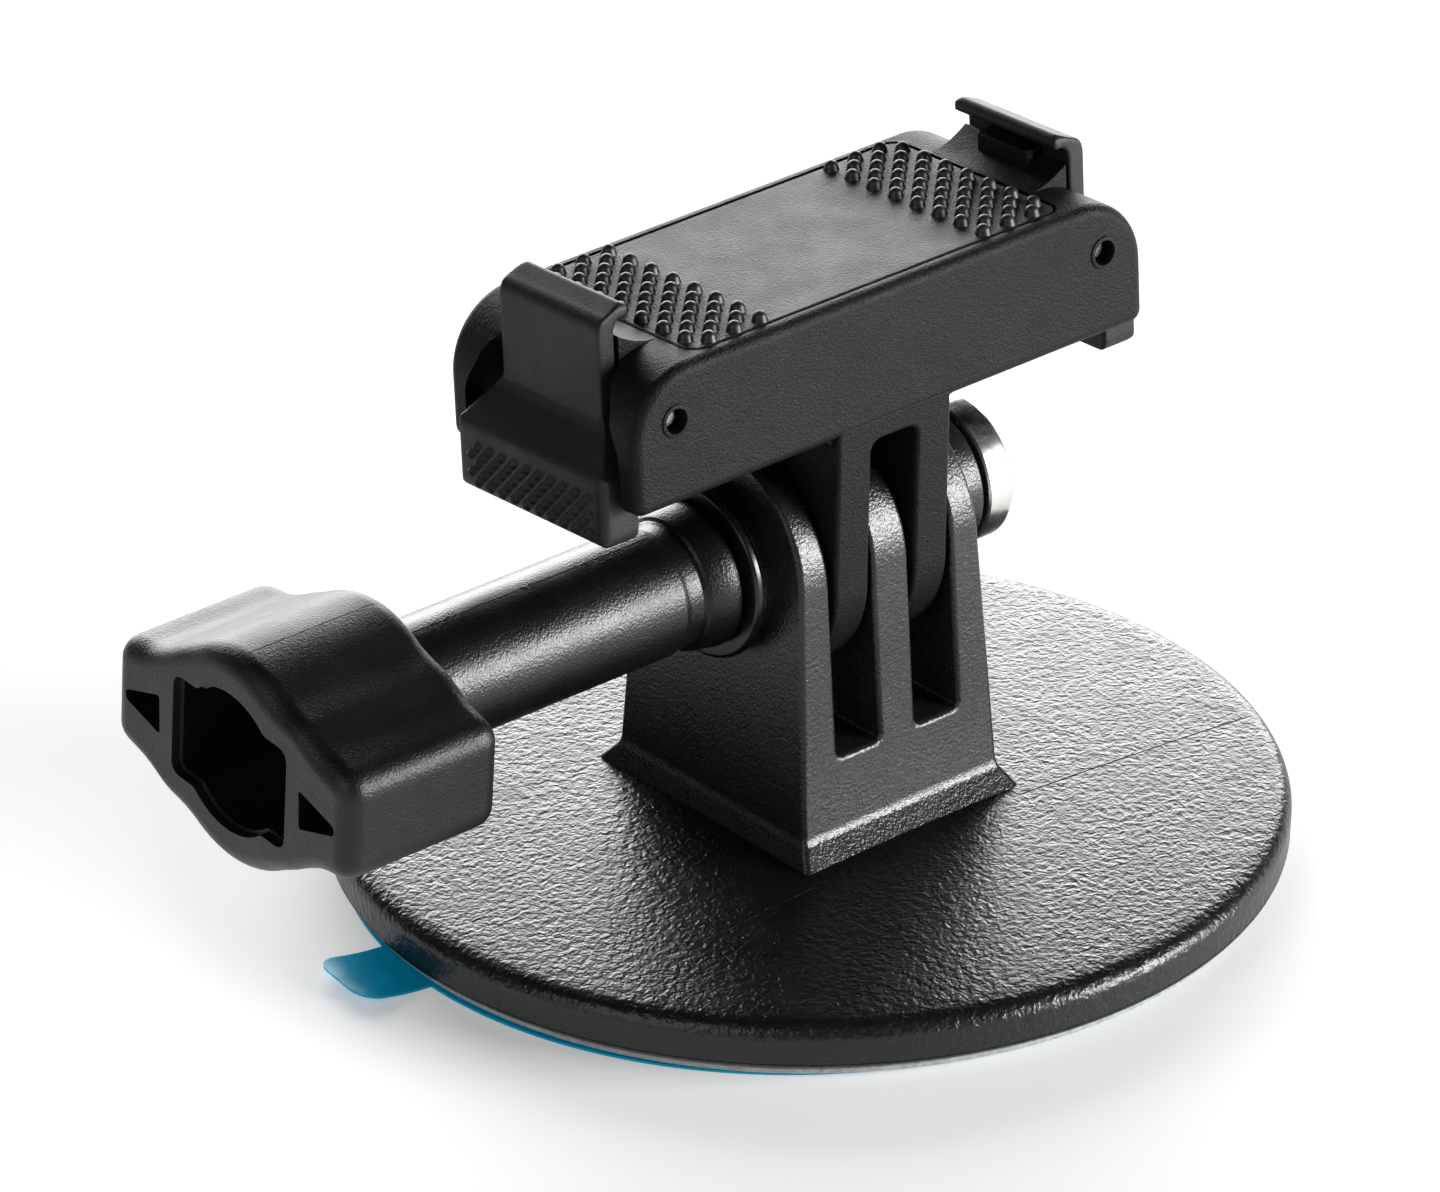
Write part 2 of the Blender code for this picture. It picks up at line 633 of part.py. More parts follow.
def add_adapter_body(parent):
    solid = prism("Y", body_outline(), -BODY_HALF_DEPTH, BODY_HALF_DEPTH)
    body = make_object("adapter_body", solid, adapter_plastic(), parent)
    for side in (-1, 1):
        edges = [side * (PRONG_PITCH + width) / 2 for width in (-LEG_THICKNESS, LEG_THICKNESS)]
        leg = prism("X", leg_outline(), *sorted(edges))
        combine(body, make_object("leg_guide", leg, parent=parent), "UNION")
        ramp = prism("Y", ramp_outline(side), -RAMP_HALF_WIDTH, RAMP_HALF_WIDTH)
        combine(body, make_object("ramp_guide", ramp, parent=parent), "UNION")
        tooth = prism("Y", tooth_outline(side), -TOOTH_HALF_WIDTH, TOOTH_HALF_WIDTH)
        combine(body, make_object("tooth_guide", tooth, parent=parent), "UNION")
    web_half = (PRONG_PITCH - LEG_THICKNESS) / 2 + 0.2 * MM
    web = block((-web_half, -8.2 * MM, LEG_WEB_BOTTOM), (web_half, 8.2 * MM, BODY_BOTTOM + MM))
    combine(body, make_object("web_guide", web, parent=parent), "UNION")
    for side in (-1, 1):
        combine(body, make_object("pocket_cutter", pocket_solid(side), parent=parent), "DIFFERENCE")
        hole = rod("Y", PIN_HOLE_RADIUS, -10 * MM, 10 * MM, 20, side * PIN_X, PIN_HEIGHT)
        combine(body, make_object("pin_hole_cutter", hole, parent=parent), "DIFFERENCE")
    recess = rounded_rectangle(PAD_HALF_LENGTH + GAP, PAD_HALF_DEPTH + GAP, PAD_CORNER + GAP)
    recess_solid = prism("Z", recess, PAD_BOTTOM - GAP, BODY_TOP + MM)
    combine(body, make_object("pad_recess_cutter", recess_solid, parent=parent), "DIFFERENCE")
    low = (-KEEPER_HALF[0] - GAP, -KEEPER_HALF[1] - GAP, KEEPER_HEIGHTS[0] - GAP)
    high = (KEEPER_HALF[0] + GAP, KEEPER_HALF[1] + GAP, BODY_TOP)
    combine(body, make_object("magnet_well_cutter", block(low, high), parent=parent), "DIFFERENCE")
    bore = rod("X", BORE_RADIUS, -8 * MM, 8 * MM, sides=24)
    combine(body, make_object("leg_bore_cutter", bore, parent=parent), "DIFFERENCE")
    return body


def pip_places():
    """Centres of every pip: staggered columns on both halves of the pad."""
    places = []
    for side in (-1, 1):
        for column in range(PIP_COLUMNS):
            rows = PIP_ROWS - column % 2
            for row in range(rows):
                across = (row - (rows - 1) / 2) * PIP_ROW_STEP
                places.append((side * (PIP_FIRST_COLUMN + column * PIP_COLUMN_STEP), across))
    return places


def add_pips(shape, places):
    """One closed, tapered stud for each place, sunk a little into the pad."""
    sides = 6
    levels = ((PAD_TOP - 0.2 * MM, PIP_RADIUS), (PAD_TOP + PIP_HEIGHT, 0.7 * PIP_RADIUS))
    for x, y in places:
        rings = []
        for height, radius in levels:
            ring = [shape.verts.new((x + radius * math.cos(2 * math.pi * index / sides),
                                     y + radius * math.sin(2 * math.pi * index / sides), height))
                    for index in range(sides)]
            rings.append(ring)
        for lower, upper in zip(rings, rings[1:]):
            for index in range(sides):
                following = (index + 1) % sides
                shape.faces.new((lower[index], lower[following], upper[following], upper[index]))
        shape.faces.new(list(reversed(rings[0])))
        shape.faces.new(rings[-1])


def add_pad(parent):
    outline = rounded_rectangle(PAD_HALF_LENGTH, PAD_HALF_DEPTH, PAD_CORNER)
    pad = make_object("grip_pad", prism("Z", outline, PAD_BOTTOM, PAD_TOP), pad_rubber(), parent)
    pips = bmesh.new()
    add_pips(pips, pip_places())
    combine(pad, make_object("pips_guide", pips, parent=parent), "UNION")
    return pad


def add_magnets(parent):
    for name, side in (("left", -1), ("right", 1)):
        outline = rounded_rectangle(*MAGNET_HALF, 0.5 * MM, 2, (side * MAGNET_CENTRE, 0.0))
        make_object(name + "_magnet", prism("Z", outline, *MAGNET_HEIGHTS), magnet_nickel(), parent)
    plate = rounded_rectangle(*KEEPER_HALF, 0.6 * MM, 2)
    make_object("keeper_plate", prism("Z", plate, *KEEPER_HEIGHTS), plain_steel(), parent)


# ---------------------------------------------------------------- clips

def clip_side_view():
    """The clip's profile in X and Z, relative to its pin, for the right end."""
    inner = CLIP_OUTER - CLIP_PLATE
    low_hook, outer_top, inner_top = CLIP_HOOK_HEIGHTS
    points = [(THUMB_INNER, THUMB_BOTTOM + 0.5 * MM), (THUMB_INNER + 0.5 * MM, THUMB_BOTTOM),
              (THUMB_OUTER - 0.9 * MM, THUMB_BOTTOM), (THUMB_OUTER, THUMB_BOTTOM + 0.9 * MM),
              (THUMB_OUTER, CLIP_SHOULDER[1]), (CLIP_OUTER, CLIP_SHOULDER[0]),
              (CLIP_OUTER, outer_top - 0.3 * MM), (CLIP_OUTER - 0.3 * MM, outer_top + 0.06 * MM),
              (CLIP_HOOK_INNER + 0.25 * MM, inner_top), (CLIP_HOOK_INNER, inner_top - 0.25 * MM),
              (CLIP_HOOK_INNER, low_hook + 0.2 * MM), (CLIP_HOOK_INNER + 0.2 * MM, low_hook)]
    points += arc((inner - 0.75 * MM, low_hook - 0.65 * MM), 0.75 * MM, 70, 0, 4)
    points += [(inner, PIN_HEIGHT + 1.9 * MM), (THUMB_INNER - 0.1 * MM, 12.6 * MM)]
    return [(across - PIN_X, up - PIN_HEIGHT) for across, up in points]


def clip_end_view():
    """The clip's outline in Y and Z: a narrow plate that widens into the thumb piece."""
    half = [(THUMB_HALF_WIDTH - 0.9 * MM, THUMB_BOTTOM - 0.1 * MM),
            (THUMB_HALF_WIDTH, THUMB_BOTTOM + 0.8 * MM),
            (THUMB_HALF_WIDTH, CLIP_SHOULDER[1]), (CLIP_HALF_WIDTH, CLIP_SHOULDER[0]),
            (CLIP_HALF_WIDTH, 22 * MM)]
    half = [(across, up - PIN_HEIGHT) for across, up in half]
    return half + list(reversed(mirrored(half)))


def add_clip(name, side, pivot):
    """Plate, hook, thumb piece and a hub round the pin, with room for the spring."""
    side_view = [(side * across, up) for across, up in clip_side_view()]
    clip = make_object(name, prism("Y", side_view, -8 * MM, 8 * MM), clip_plastic(), pivot)
    end_view = prism("X", clip_end_view(), -10 * MM, 10 * MM)
    combine(clip, make_object(name + "_outline_guide", end_view, parent=pivot), "INTERSECT")
    hub_half = CLIP_HALF_WIDTH
    hub = rod("Y", HUB_RADIUS, -hub_half, hub_half, sides=24)
    combine(clip, make_object(name + "_hub_guide", hub, parent=pivot), "UNION")
    arm = [(0.0, -HUB_RADIUS + 0.1 * MM), (side * (THUMB_INNER - PIN_X + 0.4 * MM), -1.9 * MM),
           (side * (THUMB_INNER - PIN_X + 0.4 * MM), 1.2 * MM), (0.0, HUB_RADIUS - 0.1 * MM)]
    arm_solid = prism("Y", arm, -hub_half + 0.05 * MM, hub_half - 0.05 * MM)
    combine(clip, make_object(name + "_arm_guide", arm_solid, parent=pivot), "UNION")
    room = rod("Y", SPRING_ROOM_RADIUS, -SPRING_ROOM_HALF_WIDTH, SPRING_ROOM_HALF_WIDTH, sides=24)
    combine(clip, make_object(name + "_spring_room_cutter", room, parent=pivot), "DIFFERENCE")
    chute = [(side * -2.5 * MM, -1.0 * MM), (side * (THUMB_INNER - PIN_X - 0.15 * MM), -1.0 * MM),
             (side * (THUMB_INNER - PIN_X - 0.15 * MM), -2.5 * MM), (side * -2.5 * MM, -2.5 * MM)]
    chute_solid = prism("Y", chute, -SPRING_ROOM_HALF_WIDTH, SPRING_ROOM_HALF_WIDTH)
    combine(clip, make_object(name + "_spring_chute_cutter", chute_solid, parent=pivot), "DIFFERENCE")
    hole = rod("Y", HUB_HOLE_RADIUS, -8 * MM, 8 * MM, sides=20)
    combine(clip, make_object(name + "_hole_cutter", hole, parent=pivot), "DIFFERENCE")
    return clip


def spring_path(side):
    """A coil round the pin with one leg up to the body and one down behind the thumb piece."""
    steps = 10
    turns = SPRING_TURNS + 0.5
    half = turns * SPRING_PITCH / 2
    total = int(turns * steps)
    path = [Vector((-side * SPRING_RADIUS, -half, min(SPRING_LEG, 1.35 * MM)))]
    for index in range(total + 1):
        angle = math.pi + 2.0 * math.pi * index / steps
        path.append(Vector((side * SPRING_RADIUS * math.cos(angle), -half + SPRING_PITCH * index / steps,
                            -SPRING_RADIUS * math.sin(angle))))
    path.append(Vector((side * SPRING_RADIUS, half, -SPRING_LEG)))
    return path


def tube(path, radius, sides):
    """A round wire along a path, with rings square to its local direction."""
    rings = []
    for index, point in enumerate(path):
        before = path[max(index - 1, 0)]
        after = path[min(index + 1, len(path) - 1)]
        along = (after - before).normalized()
        across = along.cross(Vector((0.0, 1.0, 0.0)))
        if across.length < 0.1:
            across = along.cross(Vector((1.0, 0.0, 0.0)))
        across.normalize()
        up = across.cross(along)
        rings.append([point + radius * (math.cos(2 * math.pi * step / sides) * across
                                        + math.sin(2 * math.pi * step / sides) * up)
                      for step in range(sides)])
    return loft(rings)


def add_clip_set(name, side, axis):
    """One clip with its pin and spring; the clip and spring turn on an empty at the pin."""
    pivot = bpy.data.objects.new(name + "_clip_pivot", None)
    bpy.context.scene.collection.objects.link(pivot)
    pivot.parent = axis
    pivot.location = (side * PIN_X, 0.0, PIN_HEIGHT)
    add_clip(name + "_clip", side, pivot)
    wire = tube(spring_path(side), SPRING_WIRE, 6)
    make_object(name + "_torsion_spring", wire, plain_steel(), pivot)
    pin = rod("Y", PIN_RADIUS, -PIN_HALF_LENGTH, PIN_HALF_LENGTH, 16, side * PIN_X, PIN_HEIGHT)
    make_object(name + "_hinge_pin", pin, plain_steel(), axis)


# ---------------------------------------------------------------- assembly

def add_axis(name, tilt=0.0):
    axis = bpy.data.objects.new(name, None)
    bpy.context.scene.collection.objects.link(axis)
    axis.location = (0.0, 0.0, AXIS_HEIGHT)
    axis.rotation_euler = (tilt, 0.0, 0.0)
    return axis


def main():
    for existing in list(bpy.data.objects):
        bpy.data.objects.remove(existing, do_unlink=True)
    add_base()
    add_adhesive()
    add_film()
    add_nut()
    screw_axis = add_axis("screw_axis")
    add_screw(screw_axis)
    add_sleeve(screw_axis)
    add_washer(screw_axis)
    add_knob(screw_axis)
    adapter_axis = add_axis("adapter_axis", REST_TILT)
    add_adapter_body(adapter_axis)
    add_pad(adapter_axis)
    add_magnets(adapter_axis)
    add_clip_set("left", -1, adapter_axis)
    add_clip_set("right", 1, adapter_axis)


main()
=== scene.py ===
"""Looks for the disc mount: moulded plastics, rubber, foam, film and steel, with studio light and a camera.

Lengths are in metres, apart from three tables of points in millimetres: MOULD_LINES, SLEEVE_WAIST and
POCKET_WAIST. X runs along the thumbscrew towards its nut, Z is up and the fork's front faces -Y.
"""

import math

import bmesh
import bpy
from mathutils import Matrix, Vector


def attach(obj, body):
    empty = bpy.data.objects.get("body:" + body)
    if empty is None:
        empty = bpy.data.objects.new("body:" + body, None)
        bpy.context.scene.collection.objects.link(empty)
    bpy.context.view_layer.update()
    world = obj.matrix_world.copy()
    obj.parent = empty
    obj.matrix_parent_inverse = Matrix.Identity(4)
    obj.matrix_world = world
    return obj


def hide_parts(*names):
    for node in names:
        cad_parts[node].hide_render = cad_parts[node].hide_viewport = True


MM = 0.001

# The screw's axis, and the adapter's own upright frame tilted about it.
AXIS_HEIGHT = 20.87 * MM
REST_TILT = math.radians(-3.3)
ON_AXIS = Matrix.Translation((0.0, 0.0, AXIS_HEIGHT))
ON_ADAPTER = ON_AXIS @ Matrix.Rotation(REST_TILT, 4, "X")

# Disc.
DISC_RADIUS = 28.9 * MM
DISC_BOTTOM = 0.9 * MM
RIM_TOP = 3.77 * MM
RIM_ROUNDING = 1.07 * MM
CROWN = 0.81 * MM
UNDERSIDE_EDGE = 0.3 * MM
ADHESIVE_RADIUS = 28.3 * MM
ADHESIVE_HEIGHTS = (0.3 * MM, 0.72 * MM)
ADHESIVE_EDGE = 0.1 * MM
FILM_RADIUS = 26.9 * MM
FILM_SHIFT = -1.5 * MM
FILM_THICKNESS = 0.15 * MM
TAB_ANGLE = math.radians(172.5)
TAB_HALF_WIDTH = 2.7 * MM
TAB_REACH = 31.45 * MM
TAB_LIFT = 0.6 * MM
TAB_CORNER = 1.4 * MM
MOULD_LINE = (0.1 * MM, 0.05 * MM)
MOULD_LINES = (((-6.1, -10.7), (-18.9, -11.2)), ((7.5, -8.9), (7.5, -10.5), (26.6, -11.8)))

# Fork.
PRONG_PITCH = 6.1 * MM
PRONG_THICKNESS = 2.8 * MM
SLOT_BOTTOM = 10.37 * MM
SKIRT_TOP = 5.75 * MM
SKIRT_FOOT = 4.42 * MM
TOWER_HALF_WIDTH = 7.63 * MM
TOWER_HALF_DEPTH = 8.44 * MM
SKIRT_HALF_WIDTH = 8.39 * MM
SKIRT_HALF_DEPTH = 9.6 * MM
SIDE_DRAFT = 0.047
FRONT_DRAFT = 0.068
TOWER_ROOT = 2.2 * MM
FORK_EDGE = 0.35 * MM

# Thumbscrew, with distances along X.
BORE_RADIUS = 2.75 * MM
HEXAGON_GAP = 0.6 * MM
THREAD_RADII = (2.05 * MM, 2.45 * MM)
THREAD_PITCH = 0.8 * MM
SCREW_TIP = 11.0 * MM
SCREW_HEAD = (-35.2 * MM, -32.3 * MM)
HEAD_FLATS = 5.6 * MM
SLEEVE_RADIUS = 3.97 * MM
SLEEVE_START = -35.5 * MM
SLEEVE_END = -8.85 * MM
SLEEVE_GAP = 0.12 * MM
SLEEVE_WAIST = ((-12.55, 3.94), (-12.35, 3.84), (-12.1, 3.8), (-11.25, 3.8), (-11.05, 3.9), (-10.92, 4.1),
                (-10.75, 4.2), (-9.4, 4.44), (-9.05, 4.49))
WASHER = (-8.55 * MM, -8.0 * MM)
WASHER_RADIUS = 5.4 * MM
LEFT_BOSS = (-7.7 * MM, 5.0 * MM)
RIGHT_BOSS = (10.1 * MM, 4.4 * MM)
BOSS_ROUNDING = 0.25 * MM
NUT_DISC = (10.4 * MM, 12.35 * MM)
NUT_RADIUS = 4.5 * MM
NUT_ROUNDING = 0.3 * MM
NUT_START = 7.3 * MM
NUT_FLATS = 6.3 * MM
NUT_POCKET = 6.9 * MM
NUT_BORE_END = 11.4 * MM

# Knob.
KNOB_FRONT = -43.25 * MM
KNOB_REAR = -32.0 * MM
KNOB_HUB_RADIUS = 6.9 * MM
KNOB_WING = ((10.45 * MM, 3.85 * MM), (3.25 * MM, 4.25 * MM), (5.0 * MM, -4.75 * MM), (11.0 * MM, -2.8 * MM))
KNOB_WING_CORNER = 1.5 * MM
KNOB_WAIST = 2.3 * MM
KNOB_EDGE = 1.35 * MM
KNOB_CUT_EDGE = 0.14 * MM
CAVITY_RADIUS = 4.5 * MM
CAVITY_LOBE = (5.15 * MM, 3.3 * MM)
CAVITY_LOBE_CORNER = 0.7 * MM
CAVITY_TURN = math.radians(5.0)
CAVITY_FLOOR = -37.0 * MM
CAVITY_LIP = 0.6 * MM
CAVITY_STEP = 0.22 * MM
SOCKET_FLOOR = -35.8 * MM
WING_POCKET_FLOOR = -38.5 * MM
WING_POCKET_CORNERS = ((6.3 * MM, 1.65 * MM), (9.5 * MM, 0.75 * MM), (9.5 * MM, 0.2 * MM),
                       (6.4 * MM, -0.9 * MM))
WING_POCKET_EDGE = 0.25 * MM

# Adapter, measured in its own frame.
BODY_HALF_LENGTH = 19.55 * MM
BODY_HALF_DEPTH = 8.4 * MM
BODY_BOTTOM = 9.65 * MM
BODY_TOP = 18.2 * MM
BODY_SHOULDER = 4.5 * MM
BODY_CORNER = 0.8 * MM
BODY_EDGE = 0.72 * MM
BODY_CUT_EDGE = 0.16 * MM
LEG_THICKNESS = 2.6 * MM
LEG_END_RADIUS = 7.5 * MM
LEG_WEB_BOTTOM = 8.7 * MM
LEG_WEB_CORNER = 0.7 * MM
LEG_EDGE = 0.3 * MM
LEG_FILLET = 0.8 * MM
POCKET_BACK = 14.75 * MM
POCKET_CEILING = 16.75 * MM
POCKET_HALF_WIDTH = 6.9 * MM
POCKET_WAIST = ((4.95, 16.75), (5.45, 16.3), (5.8, 15.7), (6.05, 14.9), (6.5, 14.1), (6.8, 13.5))
GATE_BACK = 17.15 * MM
GATE_HALF_WIDTH = 4.75 * MM
RAMP_HALF_WIDTH = 4.45 * MM
RAMP_EDGE = 0.15 * MM
TOOTH_HALF_WIDTH = 2.25 * MM
TOOTH_REACH = (15.95 * MM, 17.55 * MM)
TOOTH_HEIGHTS = (17.5 * MM, 19.7 * MM)
TOOTH_CORNER = 0.4 * MM
PIN_X = 16.43 * MM
PIN_HEIGHT = 15.0 * MM
PIN_RADIUS = 0.65 * MM
PIN_HALF_LENGTH = 7.7 * MM
PIN_HOLE_RADIUS = 0.78 * MM
PIN_RING_RADIUS = PIN_HOLE_RADIUS + 0.24 * MM
PAD_HALF_LENGTH = 14.1 * MM
PAD_HALF_DEPTH = 7.35 * MM
PAD_HEIGHTS = (17.05 * MM, 18.2 * MM)
PAD_CORNER = 1.0 * MM
PAD_EDGE = 0.2 * MM
PAD_GAP = 0.18 * MM
PIP_RADIUS = 0.48 * MM
PIP_HEIGHT = 0.6 * MM
PIP_DOME = 0.42 * MM
PIP_FIRST_COLUMN = 8.57 * MM
PIP_COLUMN_STEP = 0.954 * MM
PIP_COLUMNS = 6
PIP_ROW_STEP = 1.923 * MM
PIP_ROWS = 8
MAGNET_CENTRE = 8.5 * MM
MAGNET_HALF = (4.0 * MM, 5.0 * MM)
MAGNET_HEIGHTS = (13.9 * MM, 16.3 * MM)
KEEPER_HALF = (13.0 * MM, 5.0 * MM)
KEEPER_HEIGHTS = (12.6 * MM, 13.6 * MM)

# Clips.
CLIP_OUTER = 18.6 * MM
CLIP_PLATE = 1.2 * MM
CLIP_HALF_WIDTH = 4.45 * MM
CLIP_HOOK_INNER = 16.3 * MM
CLIP_HOOK_HEIGHTS = (20.25 * MM, 20.7 * MM, 21.15 * MM)
CLIP_SHOULDER = (14.6 * MM, 11.7 * MM)
THUMB_OUTER = 20.64 * MM
THUMB_INNER = 18.0 * MM
THUMB_BOTTOM = 7.4 * MM
THUMB_HALF_WIDTH = 6.6 * MM
THUMB_ROUNDING = 0.85 * MM
THUMB_TOP_ROUNDING = 1.0 * MM
CLIP_TOP_ROUNDING = 0.95 * MM
CLIP_NOSE = 0.48 * MM
CLIP_LIP = 0.25 * MM
CLIP_FILLET = 0.75 * MM
CLIP_END_ROUNDING = 0.45 * MM
CLIP_VOXEL = 0.11 * MM
CLIP_PASSES = 7
KNURL_HALF_WIDTH = 5.9 * MM
KNURL_HEIGHTS = (7.75 * MM, 11.45 * MM)
KNURL_PITCH = 1.1 * MM
KNURL_RISE = 0.38 * MM
KNURL_REACH = 0.42 * KNURL_PITCH
HUB_RADIUS = 1.4 * MM
HUB_HOLE_RADIUS = 0.95 * MM
SPRING_RADIUS = 1.1 * MM
SPRING_WIRE = 0.2 * MM
SPRING_TURNS = 4
SPRING_PITCH = 0.55 * MM
SPRING_LEG = 2.4 * MM
SPRING_ROOM_RADIUS = 1.6 * MM
SPRING_ROOM_HALF_WIDTH = 1.9 * MM

# Finishes, light and camera.
GLOSS_SPREAD = 0.05
LIGHT_AIM = (0.0, 0.0, 0.015)
CAMERA_LENS = 240.238
CAMERA_PLACE = (-0.328085, -0.377740, 0.285593)
CAMERA_FORWARD = (0.570443, 0.670728, -0.474044)
CAMERA_RIGHT = (0.760252, -0.649614, -0.004289)

# Which of (along, across, up) goes to X, Y and Z, by the axis that "along" follows.
ORDERS = {"X": (0, 1, 2), "Y": (1, 0, 2), "Z": (1, 2, 0)}


# ---- outlines

def arc(centre, radius, first, last, steps):
    """Points along a circular arc, with the angles in degrees."""
    points = []
    for index in range(steps + 1):
        angle = math.radians(first + (last - first) * index / steps)
        points.append((centre[0] + radius * math.cos(angle), centre[1] + radius * math.sin(angle)))
    return points


def rounded_rectangle(half_width, half_height, corner, steps=8, centre=(0.0, 0.0)):
    points = []
    for quarter, (side, rise) in enumerate(((1, 1), (-1, 1), (-1, -1), (1, -1))):
        corner_centre = (centre[0] + side * (half_width - corner),
                         centre[1] + rise * (half_height - corner))
        points += arc(corner_centre, corner, 90 * quarter, 90 * quarter + 90, steps)
    return points


def hexagon(flats):
    corner = flats / math.sqrt(3.0)
    return [(corner * math.cos(math.radians(60 * index)), corner * math.sin(math.radians(60 * index)))
            for index in range(6)]


def shifted(outline, across, up):
    return [(point[0] + across, point[1] + up) for point in outline]


def flipped(outline, side):
    """An outline for the right end, or its mirror image for the left."""
    return [(side * across, up) for across, up in outline]


def box_distance(across, up, half_width, half_height, corner):
    """Signed distance from a point to a rectangle with round corners."""
    beyond = (abs(across) - half_width + corner, abs(up) - half_height + corner)
    outside = math.hypot(max(beyond[0], 0.0), max(beyond[1], 0.0))
    return outside + min(max(beyond), 0.0) - corner


def turned_point(across, up, angle):
    return (across * math.cos(angle) + up * math.sin(angle),
            up * math.cos(angle) - across * math.sin(angle))


def drawn_in(corners, inset):
    """A convex outline, listed anticlockwise, with its sides moved in by an inset."""
    count = len(corners)
    moved = []
    for index in range(count):
        before, corner, after = corners[index - 1], corners[index], corners[(index + 1) % count]
        lines = []
        for start, end in ((before, corner), (corner, after)):
            length = math.dist(start, end)
            normal = ((start[1] - end[1]) / length, (end[0] - start[0]) / length)
            lines.append((*normal, normal[0] * start[0] + normal[1] * start[1] + inset))
        (a, b, c), (d, e, f) = lines
        moved.append(((c * e - b * f) / (a * e - b * d), (a * f - c * d) / (a * e - b * d)))
    return moved


def outline_distance(across, up, corners):
    """Signed distance from a point to a convex outline listed anticlockwise."""
    nearest, inside = 1.0, True
    for start, end in zip(corners, corners[1:] + corners[:1]):
        side = (end[0] - start[0], end[1] - start[1])
        to_point = (across - start[0], up - start[1])
        share = (to_point[0] * side[0] + to_point[1] * side[1]) / (side[0] ** 2 + side[1] ** 2)
        share = min(max(share, 0.0), 1.0)
        nearest = min(nearest, math.hypot(to_point[0] - share * side[0], to_point[1] - share * side[1]))
        inside = inside and side[0] * to_point[1] - side[1] * to_point[0] > 0.0
    return -nearest if inside else nearest


KNOB_WING_CORE = drawn_in(KNOB_WING, KNOB_WING_CORNER)


def grip_distance(across, up):
    """Signed distance to the knob's end view: a round hub with two skewed wings and a soft waist."""
    hub = math.hypot(across, up) - KNOB_HUB_RADIUS
    wing = min(outline_distance(side * across, side * up, KNOB_WING_CORE) for side in (-1, 1))
    wing -= KNOB_WING_CORNER
    blend = math.hypot(max(KNOB_WAIST - hub, 0.0), max(KNOB_WAIST - wing, 0.0))
    return max(KNOB_WAIST, min(hub, wing)) - blend


def cavity_distance(across, up):
    """Signed distance to the cavity's outline: a circle with a squarer lobe on each side."""
    along, rise = turned_point(across, up, CAVITY_TURN)
    lobes = box_distance(along, rise, *CAVITY_LOBE, CAVITY_LOBE_CORNER)
    return min(math.hypot(along, rise) - CAVITY_RADIUS, lobes)


def traced_outline(distance, inset, sides):
    """Points round the origin where a signed distance equals minus the inset."""
    outline = []
    for index in range(sides):
        angle = 2.0 * math.pi * index / sides
        inner, outer = 1.0 * MM, 20.0 * MM
        for _ in range(30):
            middle = (inner + outer) / 2
            if distance(middle * math.cos(angle), middle * math.sin(angle)) > -inset:
                outer = middle
            else:
                inner = middle
        outline.append((inner * math.cos(angle), inner * math.sin(angle)))
    return outline


def rounding(radius, steps):
    """How far in and how far back each step of a quarter-round edge lies."""
    return [(radius * (1.0 - math.sin(math.radians(90.0 * step / steps))),
             radius * (1.0 - math.cos(math.radians(90.0 * step / steps)))) for step in range(steps + 1)]


# ---- meshes

def loft(rings):
    """Closed solid through rings of equally many points, with a flat cap at each end."""
    shape = bmesh.new()
    made = [[shape.verts.new(point) for point in ring] for ring in rings]
    count = len(made[0])
    for lower, upper in zip(made, made[1:]):
        for index in range(count):
            following = (index + 1) % count
            shape.faces.new((lower[index], lower[following], upper[following], upper[index]))
    shape.faces.new(list(reversed(made[0])))
    shape.faces.new(made[-1])
    return shape


def placed(axis, along, across, up):
    values = (along, across, up)
    return Vector([values[place] for place in ORDERS[axis]])


def stacked(axis, sections):
    """A loft through (distance, outline) pairs along the named axis."""
    return loft([[placed(axis, along, *point) for point in outline] for along, outline in sections])


def prism(axis, outline, start, end):
    return stacked(axis, [(start, outline), (end, outline)])


def lathed(axis, profile, sides=96, across=0.0, up=0.0):
    """A solid of revolution about a line along the named axis; profile holds (along, radius)."""
    sections = []
    for along, radius in profile:
        ring = [(across + radius * math.cos(2.0 * math.pi * index / sides),
                 up + radius * math.sin(2.0 * math.pi * index / sides)) for index in range(sides)]
        sections.append((along, ring))
    return stacked(axis, sections)


def rod(axis, radius, start, end, sides=64, across=0.0, up=0.0):
    return lathed(axis, [(start, radius), (end, radius)], sides, across, up)


def block(low, high):
    outline = [(low[0], low[1]), (high[0], low[1]), (high[0], high[1]), (low[0], high[1])]
    return prism("Z", outline, low[2], high[2])


def in_scene(name, data):
    made = bpy.data.objects.new(name, data)
    bpy.context.scene.collection.objects.link(made)
    return made


def make_object(name, shape):
    bmesh.ops.recalc_face_normals(shape, faces=shape.faces)
    mesh = bpy.data.meshes.new(name)
    shape.to_mesh(mesh)
    shape.free()
    return in_scene(name, mesh)


def applied(thing):
    """Keep what the object's modifiers make of its mesh, and clear them."""
    graph = bpy.context.evaluated_depsgraph_get()
    mesh = bpy.data.meshes.new_from_object(thing.evaluated_get(graph))
    thing.modifiers.clear()
    before = thing.data
    thing.data = mesh
    bpy.data.meshes.remove(before)
    return thing


def welded(target):
    """Join points that a cut left on top of each other."""
    shape = bmesh.new()
    shape.from_mesh(target.data)
    bmesh.ops.remove_doubles(shape, verts=shape.verts, dist=0.0005 * MM)
    bmesh.ops.dissolve_degenerate(shape, edges=shape.edges, dist=0.0005 * MM)
    shape.to_mesh(target.data)
    shape.free()


